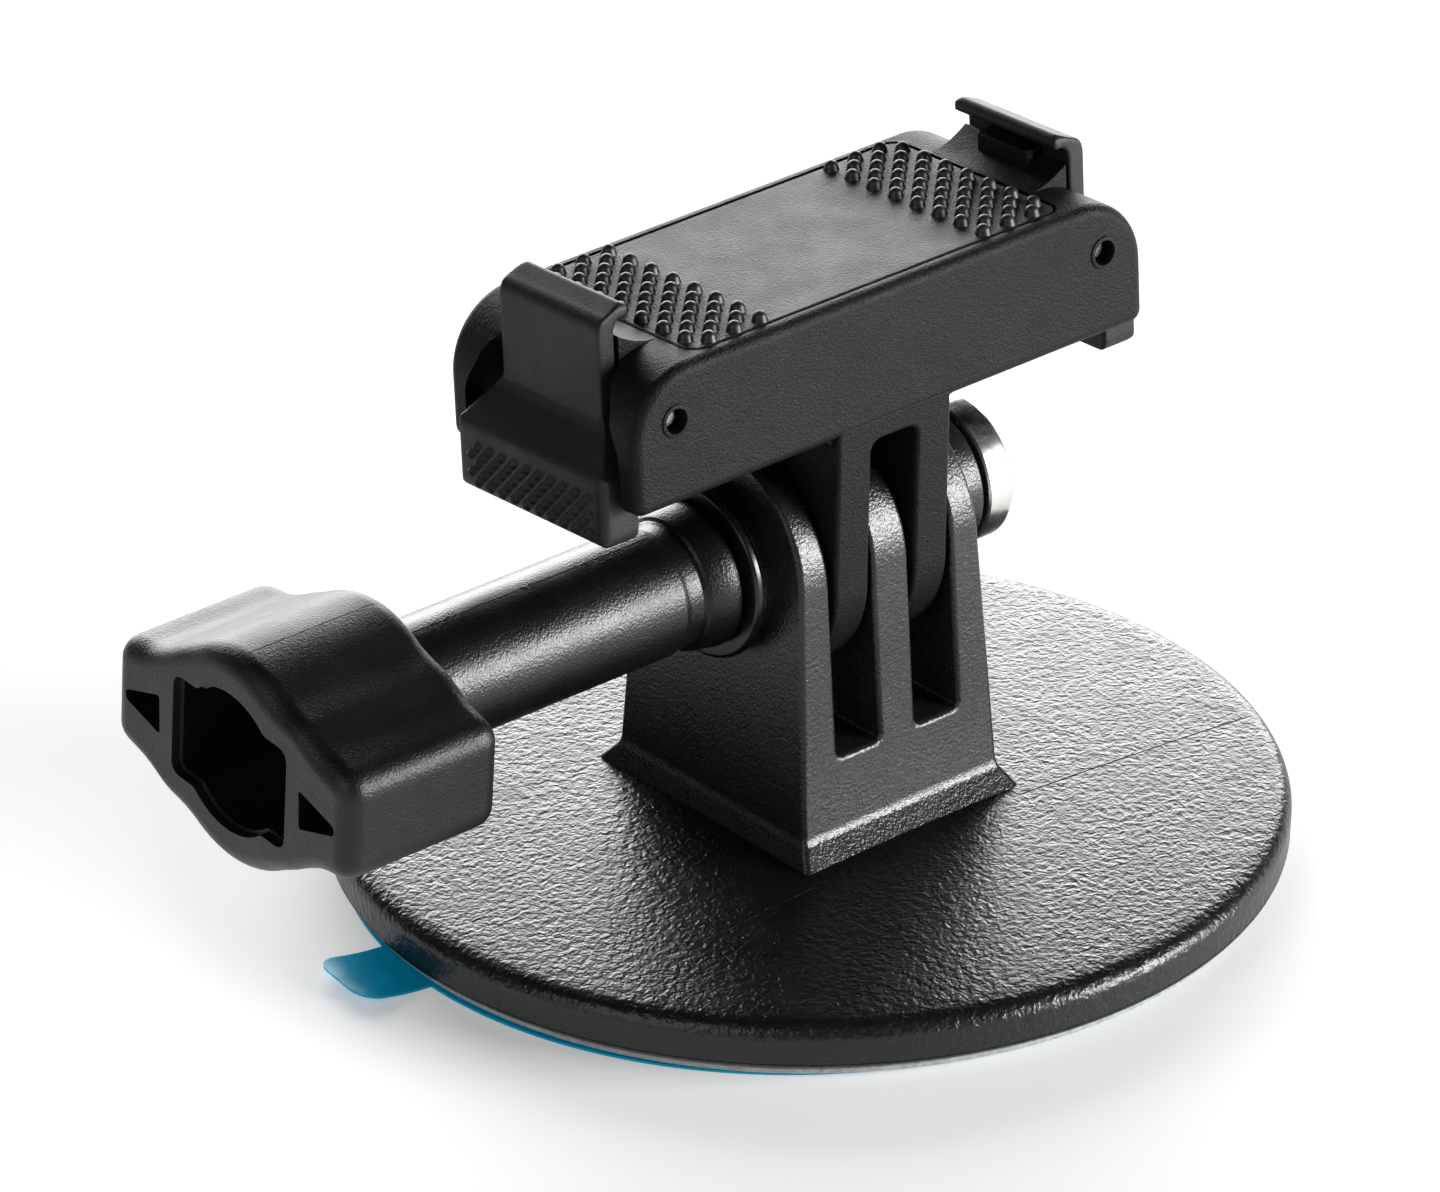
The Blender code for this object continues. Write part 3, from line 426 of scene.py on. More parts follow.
def combine(target, shape, operation):
    """Union, cut or intersect an object with a solid."""
    other = shape if isinstance(shape, bpy.types.Object) else make_object("guide", shape)
    step = target.modifiers.new("combine", "BOOLEAN")
    step.operation = operation
    step.object = other
    step.solver = "EXACT"
    applied(target)
    welded(target)
    mesh = other.data
    bpy.data.objects.remove(other)
    bpy.data.meshes.remove(mesh)
    return target


def cut(target, shape):
    return combine(target, shape, "DIFFERENCE")


def join(target, shape):
    return combine(target, shape, "UNION")


def rounded(target, width, segments=4, limit=22.0):
    """Round every edge that is sharper than the limit, in degrees."""
    step = target.modifiers.new("edges", "BEVEL")
    step.width = width
    step.segments = segments
    step.limit_method = "ANGLE"
    step.angle_limit = math.radians(limit)
    step.use_clamp_overlap = True
    step.miter_outer = "MITER_ARC"
    return applied(target)


def melted(target, voxel, passes):
    """Rebuild a solid as one even skin with soft edges."""
    step = target.modifiers.new("skin", "REMESH")
    step.mode = "VOXEL"
    step.voxel_size = voxel
    soft = target.modifiers.new("soft", "SMOOTH")
    soft.factor = 0.5
    soft.iterations = passes
    return applied(target)


def smoothed(target, sharp=24.0):
    """Smooth shading that keeps flat faces flat."""
    target.data.shade_smooth()
    target.data.set_sharp_from_angle(angle=math.radians(sharp))
    step = target.modifiers.new("normals", "WEIGHTED_NORMAL")
    step.keep_sharp = True
    return applied(target)


def seated(piece, body, node, slot, *finishes, place=None):
    """Put a finished piece on its body in place of its CAD node."""
    if place is not None:
        piece.data.transform(place)
    piece.data.materials.clear()
    for finish in finishes:
        piece.data.materials.append(finish)
    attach(piece, body)
    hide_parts(node)
    return piece


# ---- materials

def new_material(name):
    made = bpy.data.materials.new(name)
    made.use_nodes = True
    shader = made.node_tree.nodes["Principled BSDF"]
    return made, made.node_tree, shader


def set_inputs(node, values):
    for name, value in values.items():
        node.inputs[name].default_value = value


def noise(tree, source, size, detail=3.0, distortion=0.0):
    """Noise with features of about the given size in metres."""
    node = tree.nodes.new("ShaderNodeTexNoise")
    set_inputs(node, {"Scale": 1.0 / size, "Detail": detail, "Roughness": 0.6, "Distortion": distortion})
    tree.links.new(source, node.inputs["Vector"])
    return node.outputs["Fac"]


def mapped(tree, value, low, high, start=0.3, end=0.7):
    node = tree.nodes.new("ShaderNodeMapRange")
    set_inputs(node, {"From Min": start, "From Max": end, "To Min": low, "To Max": high})
    tree.links.new(value, node.inputs["Value"])
    return node.outputs["Result"]


def scaled(tree, value, factor):
    node = tree.nodes.new("ShaderNodeMath")
    node.operation = "MULTIPLY"
    node.inputs[1].default_value = factor
    tree.links.new(value, node.inputs[0])
    return node.outputs["Value"]


def added(tree, first, second):
    node = tree.nodes.new("ShaderNodeMath")
    node.operation = "ADD"
    tree.links.new(first, node.inputs[0])
    tree.links.new(second, node.inputs[1])
    return node.outputs["Value"]


def tinted(tree, shader, pattern, dark, light):
    """Base colour between two colours, by a pattern."""
    factor = mapped(tree, pattern, 0.0, 1.0)
    node = tree.nodes.new("ShaderNodeMix")
    node.data_type = "RGBA"
    set_inputs(node, {"A": (*dark, 1.0), "B": (*light, 1.0)})
    tree.links.new(factor, node.inputs["Factor"])
    tree.links.new(node.outputs["Result"], shader.inputs["Base Color"])


def bumped(tree, shader, height):
    """Surface relief from a height in metres."""
    node = tree.nodes.new("ShaderNodeBump")
    set_inputs(node, {"Strength": 1.0, "Distance": 1.0})
    tree.links.new(height, node.inputs["Height"])
    tree.links.new(node.outputs["Normal"], shader.inputs["Normal"])


def coordinates(tree):
    return tree.nodes.new("ShaderNodeTexCoord").outputs["Object"]


def moulded(name, colour, roughness, grain, pebble=None, specular=0.5):
    """A moulded surface: fine grain, an optional coarser pebble, uneven gloss and faint rubbed marks."""
    made, tree, shader = new_material(name)
    where = coordinates(tree)
    set_inputs(shader, {"Metallic": 0.0, "Specular IOR Level": specular})
    height = scaled(tree, noise(tree, where, grain[0], 2.0), grain[1])
    if pebble:
        height = added(tree, height, scaled(tree, noise(tree, where, pebble[0], 1.0, 0.4), pebble[1]))
    bumped(tree, shader, height)
    patches = noise(tree, where, 3.0 * MM, 4.0)
    rubbed = mapped(tree, noise(tree, where, 0.9 * MM, 6.0, 1.5), 0.0, 0.03, 0.62, 0.75)
    gloss = mapped(tree, patches, roughness - GLOSS_SPREAD, roughness + GLOSS_SPREAD)
    tree.links.new(added(tree, gloss, rubbed), shader.inputs["Roughness"])
    light = tuple(1.35 * part for part in colour)
    dark = tuple(0.8 * part for part in colour)
    tinted(tree, shader, noise(tree, where, 0.4 * MM, 5.0), dark, light)
    return made


def steel(name, colour, roughness, brush):
    """Turned or drawn steel: fine lines round X, with uneven polish."""
    made, tree, shader = new_material(name)
    where = coordinates(tree)
    stretch = tree.nodes.new("ShaderNodeMapping")
    stretch.inputs["Scale"].default_value = (1.0, 0.04, 0.04)
    tree.links.new(where, stretch.inputs["Vector"])
    shader.inputs["Metallic"].default_value = 1.0
    lines = noise(tree, stretch.outputs["Vector"], 0.06 * MM, 4.0)
    bumped(tree, shader, scaled(tree, lines, brush))
    tree.links.new(mapped(tree, noise(tree, where, 1.2 * MM, 4.0), roughness * 0.75, roughness * 1.3),
                   shader.inputs["Roughness"])
    tinted(tree, shader, noise(tree, where, 0.7 * MM, 5.0), tuple(0.9 * part for part in colour), colour)
    return made


def film_finish():
    """Thin tinted film that lets some light through."""
    made, tree, shader = new_material("film_finish")
    where = coordinates(tree)
    tinted(tree, shader, noise(tree, where, 2.5 * MM, 3.0), (0.0, 0.38, 0.5), (0.0, 0.47, 0.61))
    tree.links.new(mapped(tree, noise(tree, where, 1.5 * MM, 3.0), 0.16, 0.3), shader.inputs["Roughness"])
    bumped(tree, shader, scaled(tree, noise(tree, where, 2.0 * MM, 2.0), 0.02 * MM))
    clear = tree.nodes.new("ShaderNodeBsdfTransparent")
    clear.inputs["Color"].default_value = (0.0, 0.72, 0.95, 1.0)
    mixed = tree.nodes.new("ShaderNodeMixShader")
    mixed.inputs["Fac"].default_value = 0.45
    tree.links.new(shader.outputs["BSDF"], mixed.inputs[1])
    tree.links.new(clear.outputs["BSDF"], mixed.inputs[2])
    tree.links.new(mixed.outputs["Shader"], tree.nodes["Material Output"].inputs["Surface"])
    return made


def make_finishes():
    return {
        "disc": moulded("disc_finish", (0.0035, 0.004, 0.0043), 0.33, (0.2 * MM, 0.03 * MM),
                        (0.46 * MM, 0.09 * MM)),
        "fork": moulded("fork_finish", (0.010, 0.011, 0.0118), 0.27, (0.2 * MM, 0.05 * MM)),
        "adapter": moulded("adapter_finish", (0.0052, 0.0059, 0.0066), 0.5, (0.15 * MM, 0.07 * MM),
                           specular=0.15),
        "clip": moulded("clip_finish", (0.010, 0.0112, 0.0124), 0.5, (0.16 * MM, 0.025 * MM), specular=0.3),
        "knob": moulded("knob_finish", (0.0035, 0.0039, 0.0043), 0.4, (0.15 * MM, 0.05 * MM), specular=0.38),
        "sleeve": moulded("sleeve_finish", (0.003, 0.0034, 0.0037), 0.3, (0.16 * MM, 0.035 * MM),
                          specular=0.4),
        "washer": moulded("washer_finish", (0.004, 0.0045, 0.0048), 0.25, (0.2 * MM, 0.004 * MM)),
        "pad": moulded("pad_finish", (0.0115, 0.0125, 0.013), 0.55, (0.15 * MM, 0.11 * MM), specular=0.36),
        "pip": moulded("pip_finish", (0.010, 0.011, 0.011), 0.45, (0.2 * MM, 0.006 * MM)),
        "foam": moulded("foam_finish", (0.30, 0.32, 0.33), 0.7, (0.12 * MM, 0.04 * MM),
                        (0.5 * MM, 0.05 * MM)),
        "film": film_finish(),
        "nut": steel("nut_finish", (0.74, 0.73, 0.71), 0.25, 0.004 * MM),
        "wire": steel("wire_finish", (0.55, 0.55, 0.55), 0.28, 0.001 * MM),
        "nickel": steel("nickel_finish", (0.62, 0.60, 0.57), 0.24, 0.001 * MM),
    }


# ---- disc, fork, adhesive and film

def crown_height(radius):
    return RIM_TOP + CROWN * (1.0 - (radius / DISC_RADIUS) ** 2)


def disc_profile():
    """Height and radius down the outer side, from the crown to the underside."""
    flat_radius = DISC_RADIUS - RIM_ROUNDING
    profile = [(crown_height(flat_radius * share), max(flat_radius * share, 0.03 * MM))
               for share in [step / 24 for step in range(25)]]
    profile += arc((RIM_TOP - RIM_ROUNDING, flat_radius), RIM_ROUNDING, 12, 90, 12)
    profile += [(DISC_BOTTOM + 0.35 * MM, DISC_RADIUS - 0.05 * MM)]
    profile += [(DISC_BOTTOM + inset, DISC_RADIUS - 0.05 * MM - back) for inset, back in
                reversed(rounding(UNDERSIDE_EDGE, 4))]
    return profile


def line_cutter(points, width, depth):
    """A thin strip that follows the crown of the disc along a flat path."""
    path = []
    for start, end in zip(points, points[1:]):
        for step in range(12):
            share = step / 12
            path.append((start[0] + (end[0] - start[0]) * share, start[1] + (end[1] - start[1]) * share))
    path.append(points[-1])
    rings = []
    for index, (x, y) in enumerate(path):
        before = path[max(index - 1, 0)]
        after = path[min(index + 1, len(path) - 1)]
        along = Vector((after[0] - before[0], after[1] - before[1], 0.0)).normalized()
        aside = Vector((-along.y, along.x, 0.0)) * width / 2
        floor = Vector((x * MM, y * MM, crown_height(math.hypot(x, y) * MM) - depth))
        roof = floor + Vector((0.0, 0.0, depth + 0.6 * MM))
        rings.append([roof - 2 * aside, roof + 2 * aside, floor + aside, floor - aside])
    return loft(rings)


def tower_outline():
    """Side view of the fork in Y and Z: drafted front and back, and a round top."""
    rise = AXIS_HEIGHT - SKIRT_TOP
    half_depth = TOWER_HALF_DEPTH - FRONT_DRAFT * rise
    top = arc((0.0, AXIS_HEIGHT), half_depth, 0, 180, 56)
    return [(TOWER_HALF_DEPTH, SKIRT_TOP)] + top + [(-TOWER_HALF_DEPTH, SKIRT_TOP)]


def half_width_at(height):
    return TOWER_HALF_WIDTH - SIDE_DRAFT * (height - SKIRT_TOP)


def tower_solid():
    """The fork's upper part with its skirt, before its slots are cut."""
    rings = [[Vector((side * half_width_at(up), across, up)) for across, up in tower_outline()]
             for side in (-1, 1)]
    return loft(rings)


def skirt_solid():
    """The flare round the fork's foot, which ends inside the disc."""
    spread = (SKIRT_HALF_WIDTH - TOWER_HALF_WIDTH) / (SKIRT_TOP - SKIRT_FOOT)
    slope = (SKIRT_HALF_DEPTH - TOWER_HALF_DEPTH) / (SKIRT_HALF_WIDTH - TOWER_HALF_WIDTH)
    rings = []
    for height in (TOWER_ROOT, SKIRT_TOP):
        drop = (SKIRT_TOP - height) * spread
        wide = TOWER_HALF_WIDTH + drop
        deep = TOWER_HALF_DEPTH + drop * slope
        rings.append([Vector((x * wide, y * deep, height)) for x, y in ((1, 1), (-1, 1), (-1, -1), (1, -1))])
    return loft(rings)


def slot_solid(side, half_depth, bottom):
    """A block that fills one gap between the prongs."""
    near, far = sorted((side * PRONG_THICKNESS / 2, side * (PRONG_PITCH - PRONG_THICKNESS / 2)))
    return block((near, -half_depth, bottom), (far, half_depth, 40 * MM))


def build_fork():
    fork = make_object("fork", tower_solid())
    join(fork, skirt_solid())
    for side in (-1, 1):
        cut(fork, slot_solid(side, 15 * MM, SLOT_BOTTOM))
    return rounded(fork, FORK_EDGE)


def add_bosses(base):
    """The raised rings that the washer and the nut bear on."""
    end, radius = LEFT_BOSS
    left = [(end, radius - 0.15 * MM), (end + 0.15 * MM, radius), (-PRONG_PITCH, radius)]
    join(base, lathed("X", left, up=AXIS_HEIGHT))
    end, radius = RIGHT_BOSS
    centre = (end - BOSS_ROUNDING, radius - BOSS_ROUNDING)
    right = [(PRONG_PITCH, radius + 0.1 * MM)]
    right += [(centre[0] + BOSS_ROUNDING * math.sin(angle), centre[1] + BOSS_ROUNDING * math.cos(angle))
              for angle in (0.0, 0.4, 0.8, 1.2, math.pi / 2)]
    join(base, lathed("X", right, up=AXIS_HEIGHT))


def build_base(finishes):
    base = make_object("base_moulding", lathed("Z", disc_profile(), 192))
    for points in MOULD_LINES:
        cut(base, line_cutter(points, *MOULD_LINE))
    join(base, build_fork())
    add_bosses(base)
    for side in (-1, 1):
        cut(base, slot_solid(side, 9 * MM, 14 * MM))
    cut(base, rod("X", BORE_RADIUS, -12 * MM, 14 * MM, up=AXIS_HEIGHT))
    socket = shifted(hexagon(NUT_FLATS + HEXAGON_GAP), 0.0, AXIS_HEIGHT)
    cut(base, prism("X", socket, NUT_POCKET, 14 * MM))
    smoothed(base)
    seated(base, "mount", "base", "base_plastic", finishes["disc"], finishes["fork"])
    for face in base.data.polygons:
        x, y, z = face.center
        beside = abs(x) > SKIRT_HALF_WIDTH or abs(y) > SKIRT_HALF_DEPTH
        face.material_index = 0 if z < SKIRT_FOOT - 0.4 * MM or (beside and z < SKIRT_TOP) else 1


def build_adhesive(finishes):
    low, high = ADHESIVE_HEIGHTS
    profile = [(low, ADHESIVE_RADIUS - ADHESIVE_EDGE), (low + 0.08 * MM, ADHESIVE_RADIUS),
               (high - 0.08 * MM, ADHESIVE_RADIUS), (high, ADHESIVE_RADIUS - ADHESIVE_EDGE)]
    pad = smoothed(make_object("adhesive_foam", lathed("Z", profile, 192)))
    seated(pad, "mount", "adhesive_pad", "adhesive_foam", finishes["foam"])


def film_outline():
    """A disc with one round-cornered pull tab."""
    spread = math.asin(TAB_HALF_WIDTH / FILM_RADIUS)
    outline = []
    steps = 180
    for index in range(steps + 1):
        angle = TAB_ANGLE + spread + (2.0 * math.pi - 2.0 * spread) * index / steps
        outline.append((FILM_RADIUS * math.cos(angle), FILM_RADIUS * math.sin(angle)))
    tip = []
    for side in (-1, 1):
        centre = (TAB_REACH - TAB_CORNER, side * (TAB_HALF_WIDTH - TAB_CORNER))
        first = -90 if side < 0 else 0
        tip += arc(centre, TAB_CORNER, first, first + 90, 8)
    for share in (0.75, 0.5, 0.25):
        reach = FILM_RADIUS + share * (TAB_REACH - TAB_CORNER - FILM_RADIUS)
        tip = [(reach, -TAB_HALF_WIDTH)] + tip + [(reach, TAB_HALF_WIDTH)]
    for along, across in tip:
        outline.append((along * math.cos(TAB_ANGLE) - across * math.sin(TAB_ANGLE),
                        along * math.sin(TAB_ANGLE) + across * math.cos(TAB_ANGLE)))
    return outline


def film_point(x, y, height):
    """A point of the film, which curls up towards the end of its tab."""
    rise = max(0.0, (math.hypot(x, y) - FILM_RADIUS) / (TAB_REACH - FILM_RADIUS))
    return Vector((x + FILM_SHIFT, y, height + TAB_LIFT * rise ** 2))


def build_film(finishes):
    rings = [[film_point(x, y, height) for x, y in film_outline()] for height in (0.0, FILM_THICKNESS)]
    shape = loft(rings)
    bmesh.ops.triangulate(shape, faces=[face for face in shape.faces if len(face.verts) > 4])
    film = smoothed(make_object("release_sheet", shape))
    seated(film, "mount", "release_film", "film_plastic", finishes["film"])


# ---- nut, screw, sleeve, washer and knob

def build_nut(finishes):
    start, end = NUT_DISC
    centre = (end - NUT_ROUNDING, NUT_RADIUS - NUT_ROUNDING)
    profile = [(start, NUT_RADIUS - 0.12 * MM), (start + 0.12 * MM, NUT_RADIUS), (centre[0], NUT_RADIUS)]
    profile += [(centre[0] + NUT_ROUNDING * math.sin(angle), centre[1] + NUT_ROUNDING * math.cos(angle))
                for angle in (0.4, 0.8, 1.2)]
    profile += [(end, centre[1]), (end - 0.02 * MM, 0.5 * MM)]
    nut = make_object("steel_cap_nut", lathed("X", profile, 128))
    join(nut, prism("X", hexagon(NUT_FLATS), NUT_START, start + 0.5 * MM))
    cut(nut, rod("X", BORE_RADIUS, NUT_START - MM, NUT_BORE_END))
    smoothed(nut, 30.0)
    seated(nut, "mount", "cap_nut", "polished_steel", finishes["nut"], place=ON_AXIS)


def thread_radius(along, angle):
    """Radius of the screw's surface, where its thread stands out along a helix."""
    phase = (along / THREAD_PITCH - angle / (2.0 * math.pi)) % 1.0
    return THREAD_RADII[0] + (THREAD_RADII[1] - THREAD_RADII[0]) * (1.0 - abs(2.0 * phase - 1.0))


def screw_ring(along, fade):
    sides = 48
    ring = []
    for index in range(sides):
        angle = 2.0 * math.pi * index / sides
        radius = thread_radius(along, angle) - fade
        ring.append((radius * math.cos(angle), radius * math.sin(angle)))
    return along, ring


def build_screw(finishes):
    start = SCREW_HEAD[1] - 0.5 * MM
    steps = int((SCREW_TIP - start) / (THREAD_PITCH / 8))
    sections = []
    for index in range(steps + 1):
        along = start + (SCREW_TIP - start) * index / steps
        sections.append(screw_ring(along, max(0.0, along - SCREW_TIP + 0.5 * MM) * 0.8))
    screw = make_object("steel_screw", stacked("X", sections))
    head = rounded(make_object("head", prism("X", hexagon(HEAD_FLATS), *SCREW_HEAD)), 0.15 * MM, 3)
    join(screw, head)
    smoothed(screw, 50.0)
    seated(screw, "thumbscrew", "clamp_screw", "plain_steel", finishes["wire"], place=ON_AXIS)


def build_sleeve(finishes):
    """The tube between the knob and the fork, with a shallow waist and a flared collar."""
    profile = [(SLEEVE_START, SLEEVE_RADIUS), (-12.75 * MM, SLEEVE_RADIUS)]
    profile += [(along * MM, radius * MM) for along, radius in SLEEVE_WAIST]
    profile += [(SLEEVE_END - 0.05 * MM, 4.46 * MM), (SLEEVE_END, 4.38 * MM)]
    sleeve = make_object("sleeve_tube", lathed("X", profile, 128))
    cut(sleeve, rod("X", BORE_RADIUS, SLEEVE_START - MM, SLEEVE_END + MM))
    cut(sleeve, prism("X", hexagon(HEAD_FLATS + HEXAGON_GAP), SLEEVE_START - MM, SCREW_HEAD[1] + 0.3 * MM))
    cut(sleeve, block((-33 * MM, -0.65 * MM, SLEEVE_RADIUS - 0.09 * MM), (-12.8 * MM, -0.56 * MM, 6 * MM)))
    smoothed(sleeve)
    seated(sleeve, "thumbscrew", "screw_sleeve", "sleeve_plastic", finishes["sleeve"], place=ON_AXIS)


def build_washer(finishes):
    start, end = WASHER
    profile = [(start, WASHER_RADIUS - 0.25 * MM), (start + 0.03 * MM, WASHER_RADIUS - 0.12 * MM),
               (start + 0.1 * MM, WASHER_RADIUS - 0.03 * MM), (start + 0.2 * MM, WASHER_RADIUS),
               (end - 0.1 * MM, WASHER_RADIUS), (end, WASHER_RADIUS - 0.1 * MM)]
    washer = make_object("thrust_ring", lathed("X", profile, 128))
    cut(washer, rod("X", BORE_RADIUS, start - MM, end + MM))
    smoothed(washer, 40.0)
    seated(washer, "washer_slide", "thrust_washer", "sleeve_plastic", finishes["washer"], place=ON_AXIS)


def wing_pocket(side):
    """A three-cornered pocket in the end of one wing; the other wing's is turned half round."""
    outline = [(side * across, side * up) for across, up in WING_POCKET_CORNERS]
    pocket = make_object("pocket", prism("X", outline, KNOB_FRONT - 2 * MM, WING_POCKET_FLOOR))
    return rounded(pocket, WING_POCKET_EDGE)


def build_knob(finishes):
    sides = 192
    sections = [(KNOB_FRONT + back, inset) for back, inset in reversed(rounding(KNOB_EDGE, 8))]
    sections += [(KNOB_REAR - back, inset) for back, inset in rounding(KNOB_EDGE, 8)]
    sections.sort()
    rings = [(along, traced_outline(grip_distance, inset, sides)) for along, inset in sections]
    knob = make_object("grip_knob", stacked("X", rings))
    mouth = prism("X", traced_outline(cavity_distance, 0.0, 96), KNOB_FRONT - MM, KNOB_FRONT + CAVITY_LIP)
    cut(knob, mouth)
    for side in (-1, 1):
        cut(knob, wing_pocket(side))
    cavity = prism("X", traced_outline(cavity_distance, CAVITY_STEP, 96), KNOB_FRONT - MM, CAVITY_FLOOR)
    cut(knob, cavity)
    rounded(knob, KNOB_CUT_EDGE, 3, 50.0)
    cut(knob, rod("X", SLEEVE_RADIUS + SLEEVE_GAP, SOCKET_FLOOR, KNOB_REAR + MM))
    top = KNOB_HUB_RADIUS - 0.09 * MM
    cut(knob, block((KNOB_FRONT + MM, -0.73 * MM, top), (KNOB_REAR - MM, -0.67 * MM, 8 * MM)))
    smoothed(knob, 30.0)
    seated(knob, "thumbscrew", "knob", "knob_plastic", finishes["knob"], place=ON_AXIS)


# ---- adapter

def body_outline(inset):
    """Front view of the adapter body in X and Z, drawn in by an inset."""
    half, top, bottom = BODY_HALF_LENGTH - inset, BODY_TOP - inset, BODY_BOTTOM + inset
    shoulder = BODY_SHOULDER - inset
    corner = BODY_CORNER - inset
    right = arc((half - corner, bottom + corner), corner, 270, 360, 6)
    right += arc((half - shoulder, top - shoulder), shoulder, 0, 90, 24)
    return right + list(reversed(flipped(right, -1)))


def body_solid():
    sections = []
    for side in (-1, 1):
        for back, inset in rounding(BODY_EDGE, 7):
            sections.append((side * (BODY_HALF_DEPTH - back), body_outline(inset)))
    sections.sort(key=lambda section: section[0])
    return stacked("Y", sections)


def leg_outline():
    """Side view of the legs in Y and Z: a taper that ends in a round finger."""
    top = BODY_BOTTOM + 0.66 * MM
    half = BODY_HALF_DEPTH - 0.01 * MM
    return [(half, top)] + arc((0.0, 0.0), LEG_END_RADIUS, 0, -180, 48) + [(-half, top)]


def window_outline():
    """The gap between the legs in X and Z, with round upper corners."""
    inner = (PRONG_PITCH - LEG_THICKNESS) / 2
    centre = (inner - LEG_WEB_CORNER, LEG_WEB_BOTTOM - LEG_WEB_CORNER)
    right = arc(centre, LEG_WEB_CORNER, 0, 90, 6)
    return [(inner, -12 * MM)] + right + list(reversed(flipped(right, -1))) + [(-inner, -12 * MM)]


def legs_solid():
    """Both legs and the web between them, with their edges rounded."""
    outer = (PRONG_PITCH + LEG_THICKNESS) / 2
    legs = make_object("legs", prism("X", leg_outline(), -outer, outer))
    cut(legs, prism("Y", window_outline(), -12 * MM, 12 * MM))
    return rounded(legs, LEG_EDGE, 4, 30.0)


def leg_fillet(start, side, radius):
    """The small concave corner between a leg and the underside of the body, in X and Z."""
    top = BODY_BOTTOM + 0.1 * MM
    points = [(start - side * 0.1 * MM, top), (start - side * 0.1 * MM, BODY_BOTTOM - radius)]
    for across, up in arc((radius, -radius), radius, 180, 90, 8):
        points.append((start + side * across, BODY_BOTTOM + up))
    return points + [(start + side * radius, top)]


def pocket_ring(along, ceiling):
    """End view of a clip pocket in Y and Z, narrowing towards the top and closed by its ceiling."""
    waist = [(GATE_HALF_WIDTH - 0.2 * MM, 22 * MM), (GATE_HALF_WIDTH, 17.2 * MM)]
    waist += [(across * MM, up * MM) for across, up in POCKET_WAIST]
    waist += [(POCKET_HALF_WIDTH, 12.9 * MM), (POCKET_HALF_WIDTH, BODY_BOTTOM - MM)]
    waist = [(across, min(up, ceiling)) for across, up in waist]
    return [placed("X", along, *point) for point in waist + list(reversed(flipped(waist, -1)))]


def pocket_solid(side):
    """The room for a clip: under the deck first, then open to the top and out through the end."""
    sections = ((POCKET_BACK, POCKET_CEILING), (GATE_BACK, POCKET_CEILING),
                (GATE_BACK + 0.01 * MM, 22 * MM), (BODY_HALF_LENGTH + 2 * MM, 22 * MM))
    return loft([pocket_ring(side * along, ceiling) for along, ceiling in sections])


def ramp_outline(side):
    """The concave lead-in that rises at the end of the deck, in X and Z."""
    points = [(14.4 * MM, BODY_TOP - MM), (14.4 * MM, BODY_TOP - 0.02 * MM)]
    for step in range(9):
        share = step / 8
        points.append(((14.5 + 2.95 * share) * MM, BODY_TOP + (0.02 + 1.2 * share ** 1.7) * MM))
    points.append((17.45 * MM, BODY_TOP - MM))
    return flipped(points, side)


def tooth_solid(side):
    """The small round-cornered block in the middle of a ramp."""
    near, far = sorted(side * reach for reach in TOOTH_REACH)
    centre = ((near + far) / 2, 0.0)
    outline = rounded_rectangle((far - near) / 2, TOOTH_HALF_WIDTH, TOOTH_CORNER, 4, centre)
    return rounded(make_object("tooth", prism("Z", outline, *TOOTH_HEIGHTS)), RAMP_EDGE, 3)


def add_legs(body):
    join(body, legs_solid())
    for side in (-1, 1):
        outer = side * (PRONG_PITCH + LEG_THICKNESS) / 2
        reach = BODY_HALF_DEPTH - 0.6 * MM
        join(body, prism("Y", leg_fillet(outer, side, LEG_FILLET), -reach, reach))


def add_pin_ring(body, side):
    """The raised lip round each end of a hinge pin's hole."""
    for face in (-1, 1):
        start, end = sorted((face * (BODY_HALF_DEPTH - 0.4 * MM), face * (BODY_HALF_DEPTH + 0.1 * MM)))
        ring = rod("Y", PIN_RING_RADIUS, start, end, 48, side * PIN_X, PIN_HEIGHT)
        join(body, rounded(make_object("ring", ring), 0.07 * MM, 3, 40.0))


def build_body(finishes):
    body = make_object("adapter_shell", body_solid())
    for side in (-1, 1):
        ramp = prism("Y", ramp_outline(side), -RAMP_HALF_WIDTH, RAMP_HALF_WIDTH)
        join(body, rounded(make_object("ramp", ramp), RAMP_EDGE, 3, 40.0))
        cut(body, pocket_solid(side))
    recess = rounded_rectangle(PAD_HALF_LENGTH + PAD_GAP, PAD_HALF_DEPTH + PAD_GAP, PAD_CORNER + PAD_GAP)
    cut(body, prism("Z", recess, PAD_HEIGHTS[0] - 0.3 * MM, BODY_TOP + 3 * MM))
    rounded(body, BODY_CUT_EDGE, 3, 45.0)
    for side in (-1, 1):
        join(body, tooth_solid(side))
        add_pin_ring(body, side)
    add_legs(body)
    for side in (-1, 1):
        cut(body, rod("Y", PIN_HOLE_RADIUS, -10 * MM, 10 * MM, 48, side * PIN_X, PIN_HEIGHT))
    well_low = (-KEEPER_HALF[0] - 0.3 * MM, -KEEPER_HALF[1] - 0.3 * MM, KEEPER_HEIGHTS[0] - 0.3 * MM)
    well_high = (KEEPER_HALF[0] + 0.3 * MM, KEEPER_HALF[1] + 0.3 * MM, BODY_TOP)
    cut(body, block(well_low, well_high))
    cut(body, rod("X", BORE_RADIUS, -8 * MM, 8 * MM))
    smoothed(body)
    seated(body, "adapter", "adapter_body", "adapter_plastic", finishes["adapter"], place=ON_ADAPTER)


def pip_places():
    """Centres of every pip: staggered columns on both halves of the pad."""
    places = []
    for side in (-1, 1):
        for column in range(PIP_COLUMNS):
            rows = PIP_ROWS - column % 2
            for row in range(rows):
                across = (row - (rows - 1) / 2) * PIP_ROW_STEP
                places.append((side * (PIP_FIRST_COLUMN + column * PIP_COLUMN_STEP), across))
    return places


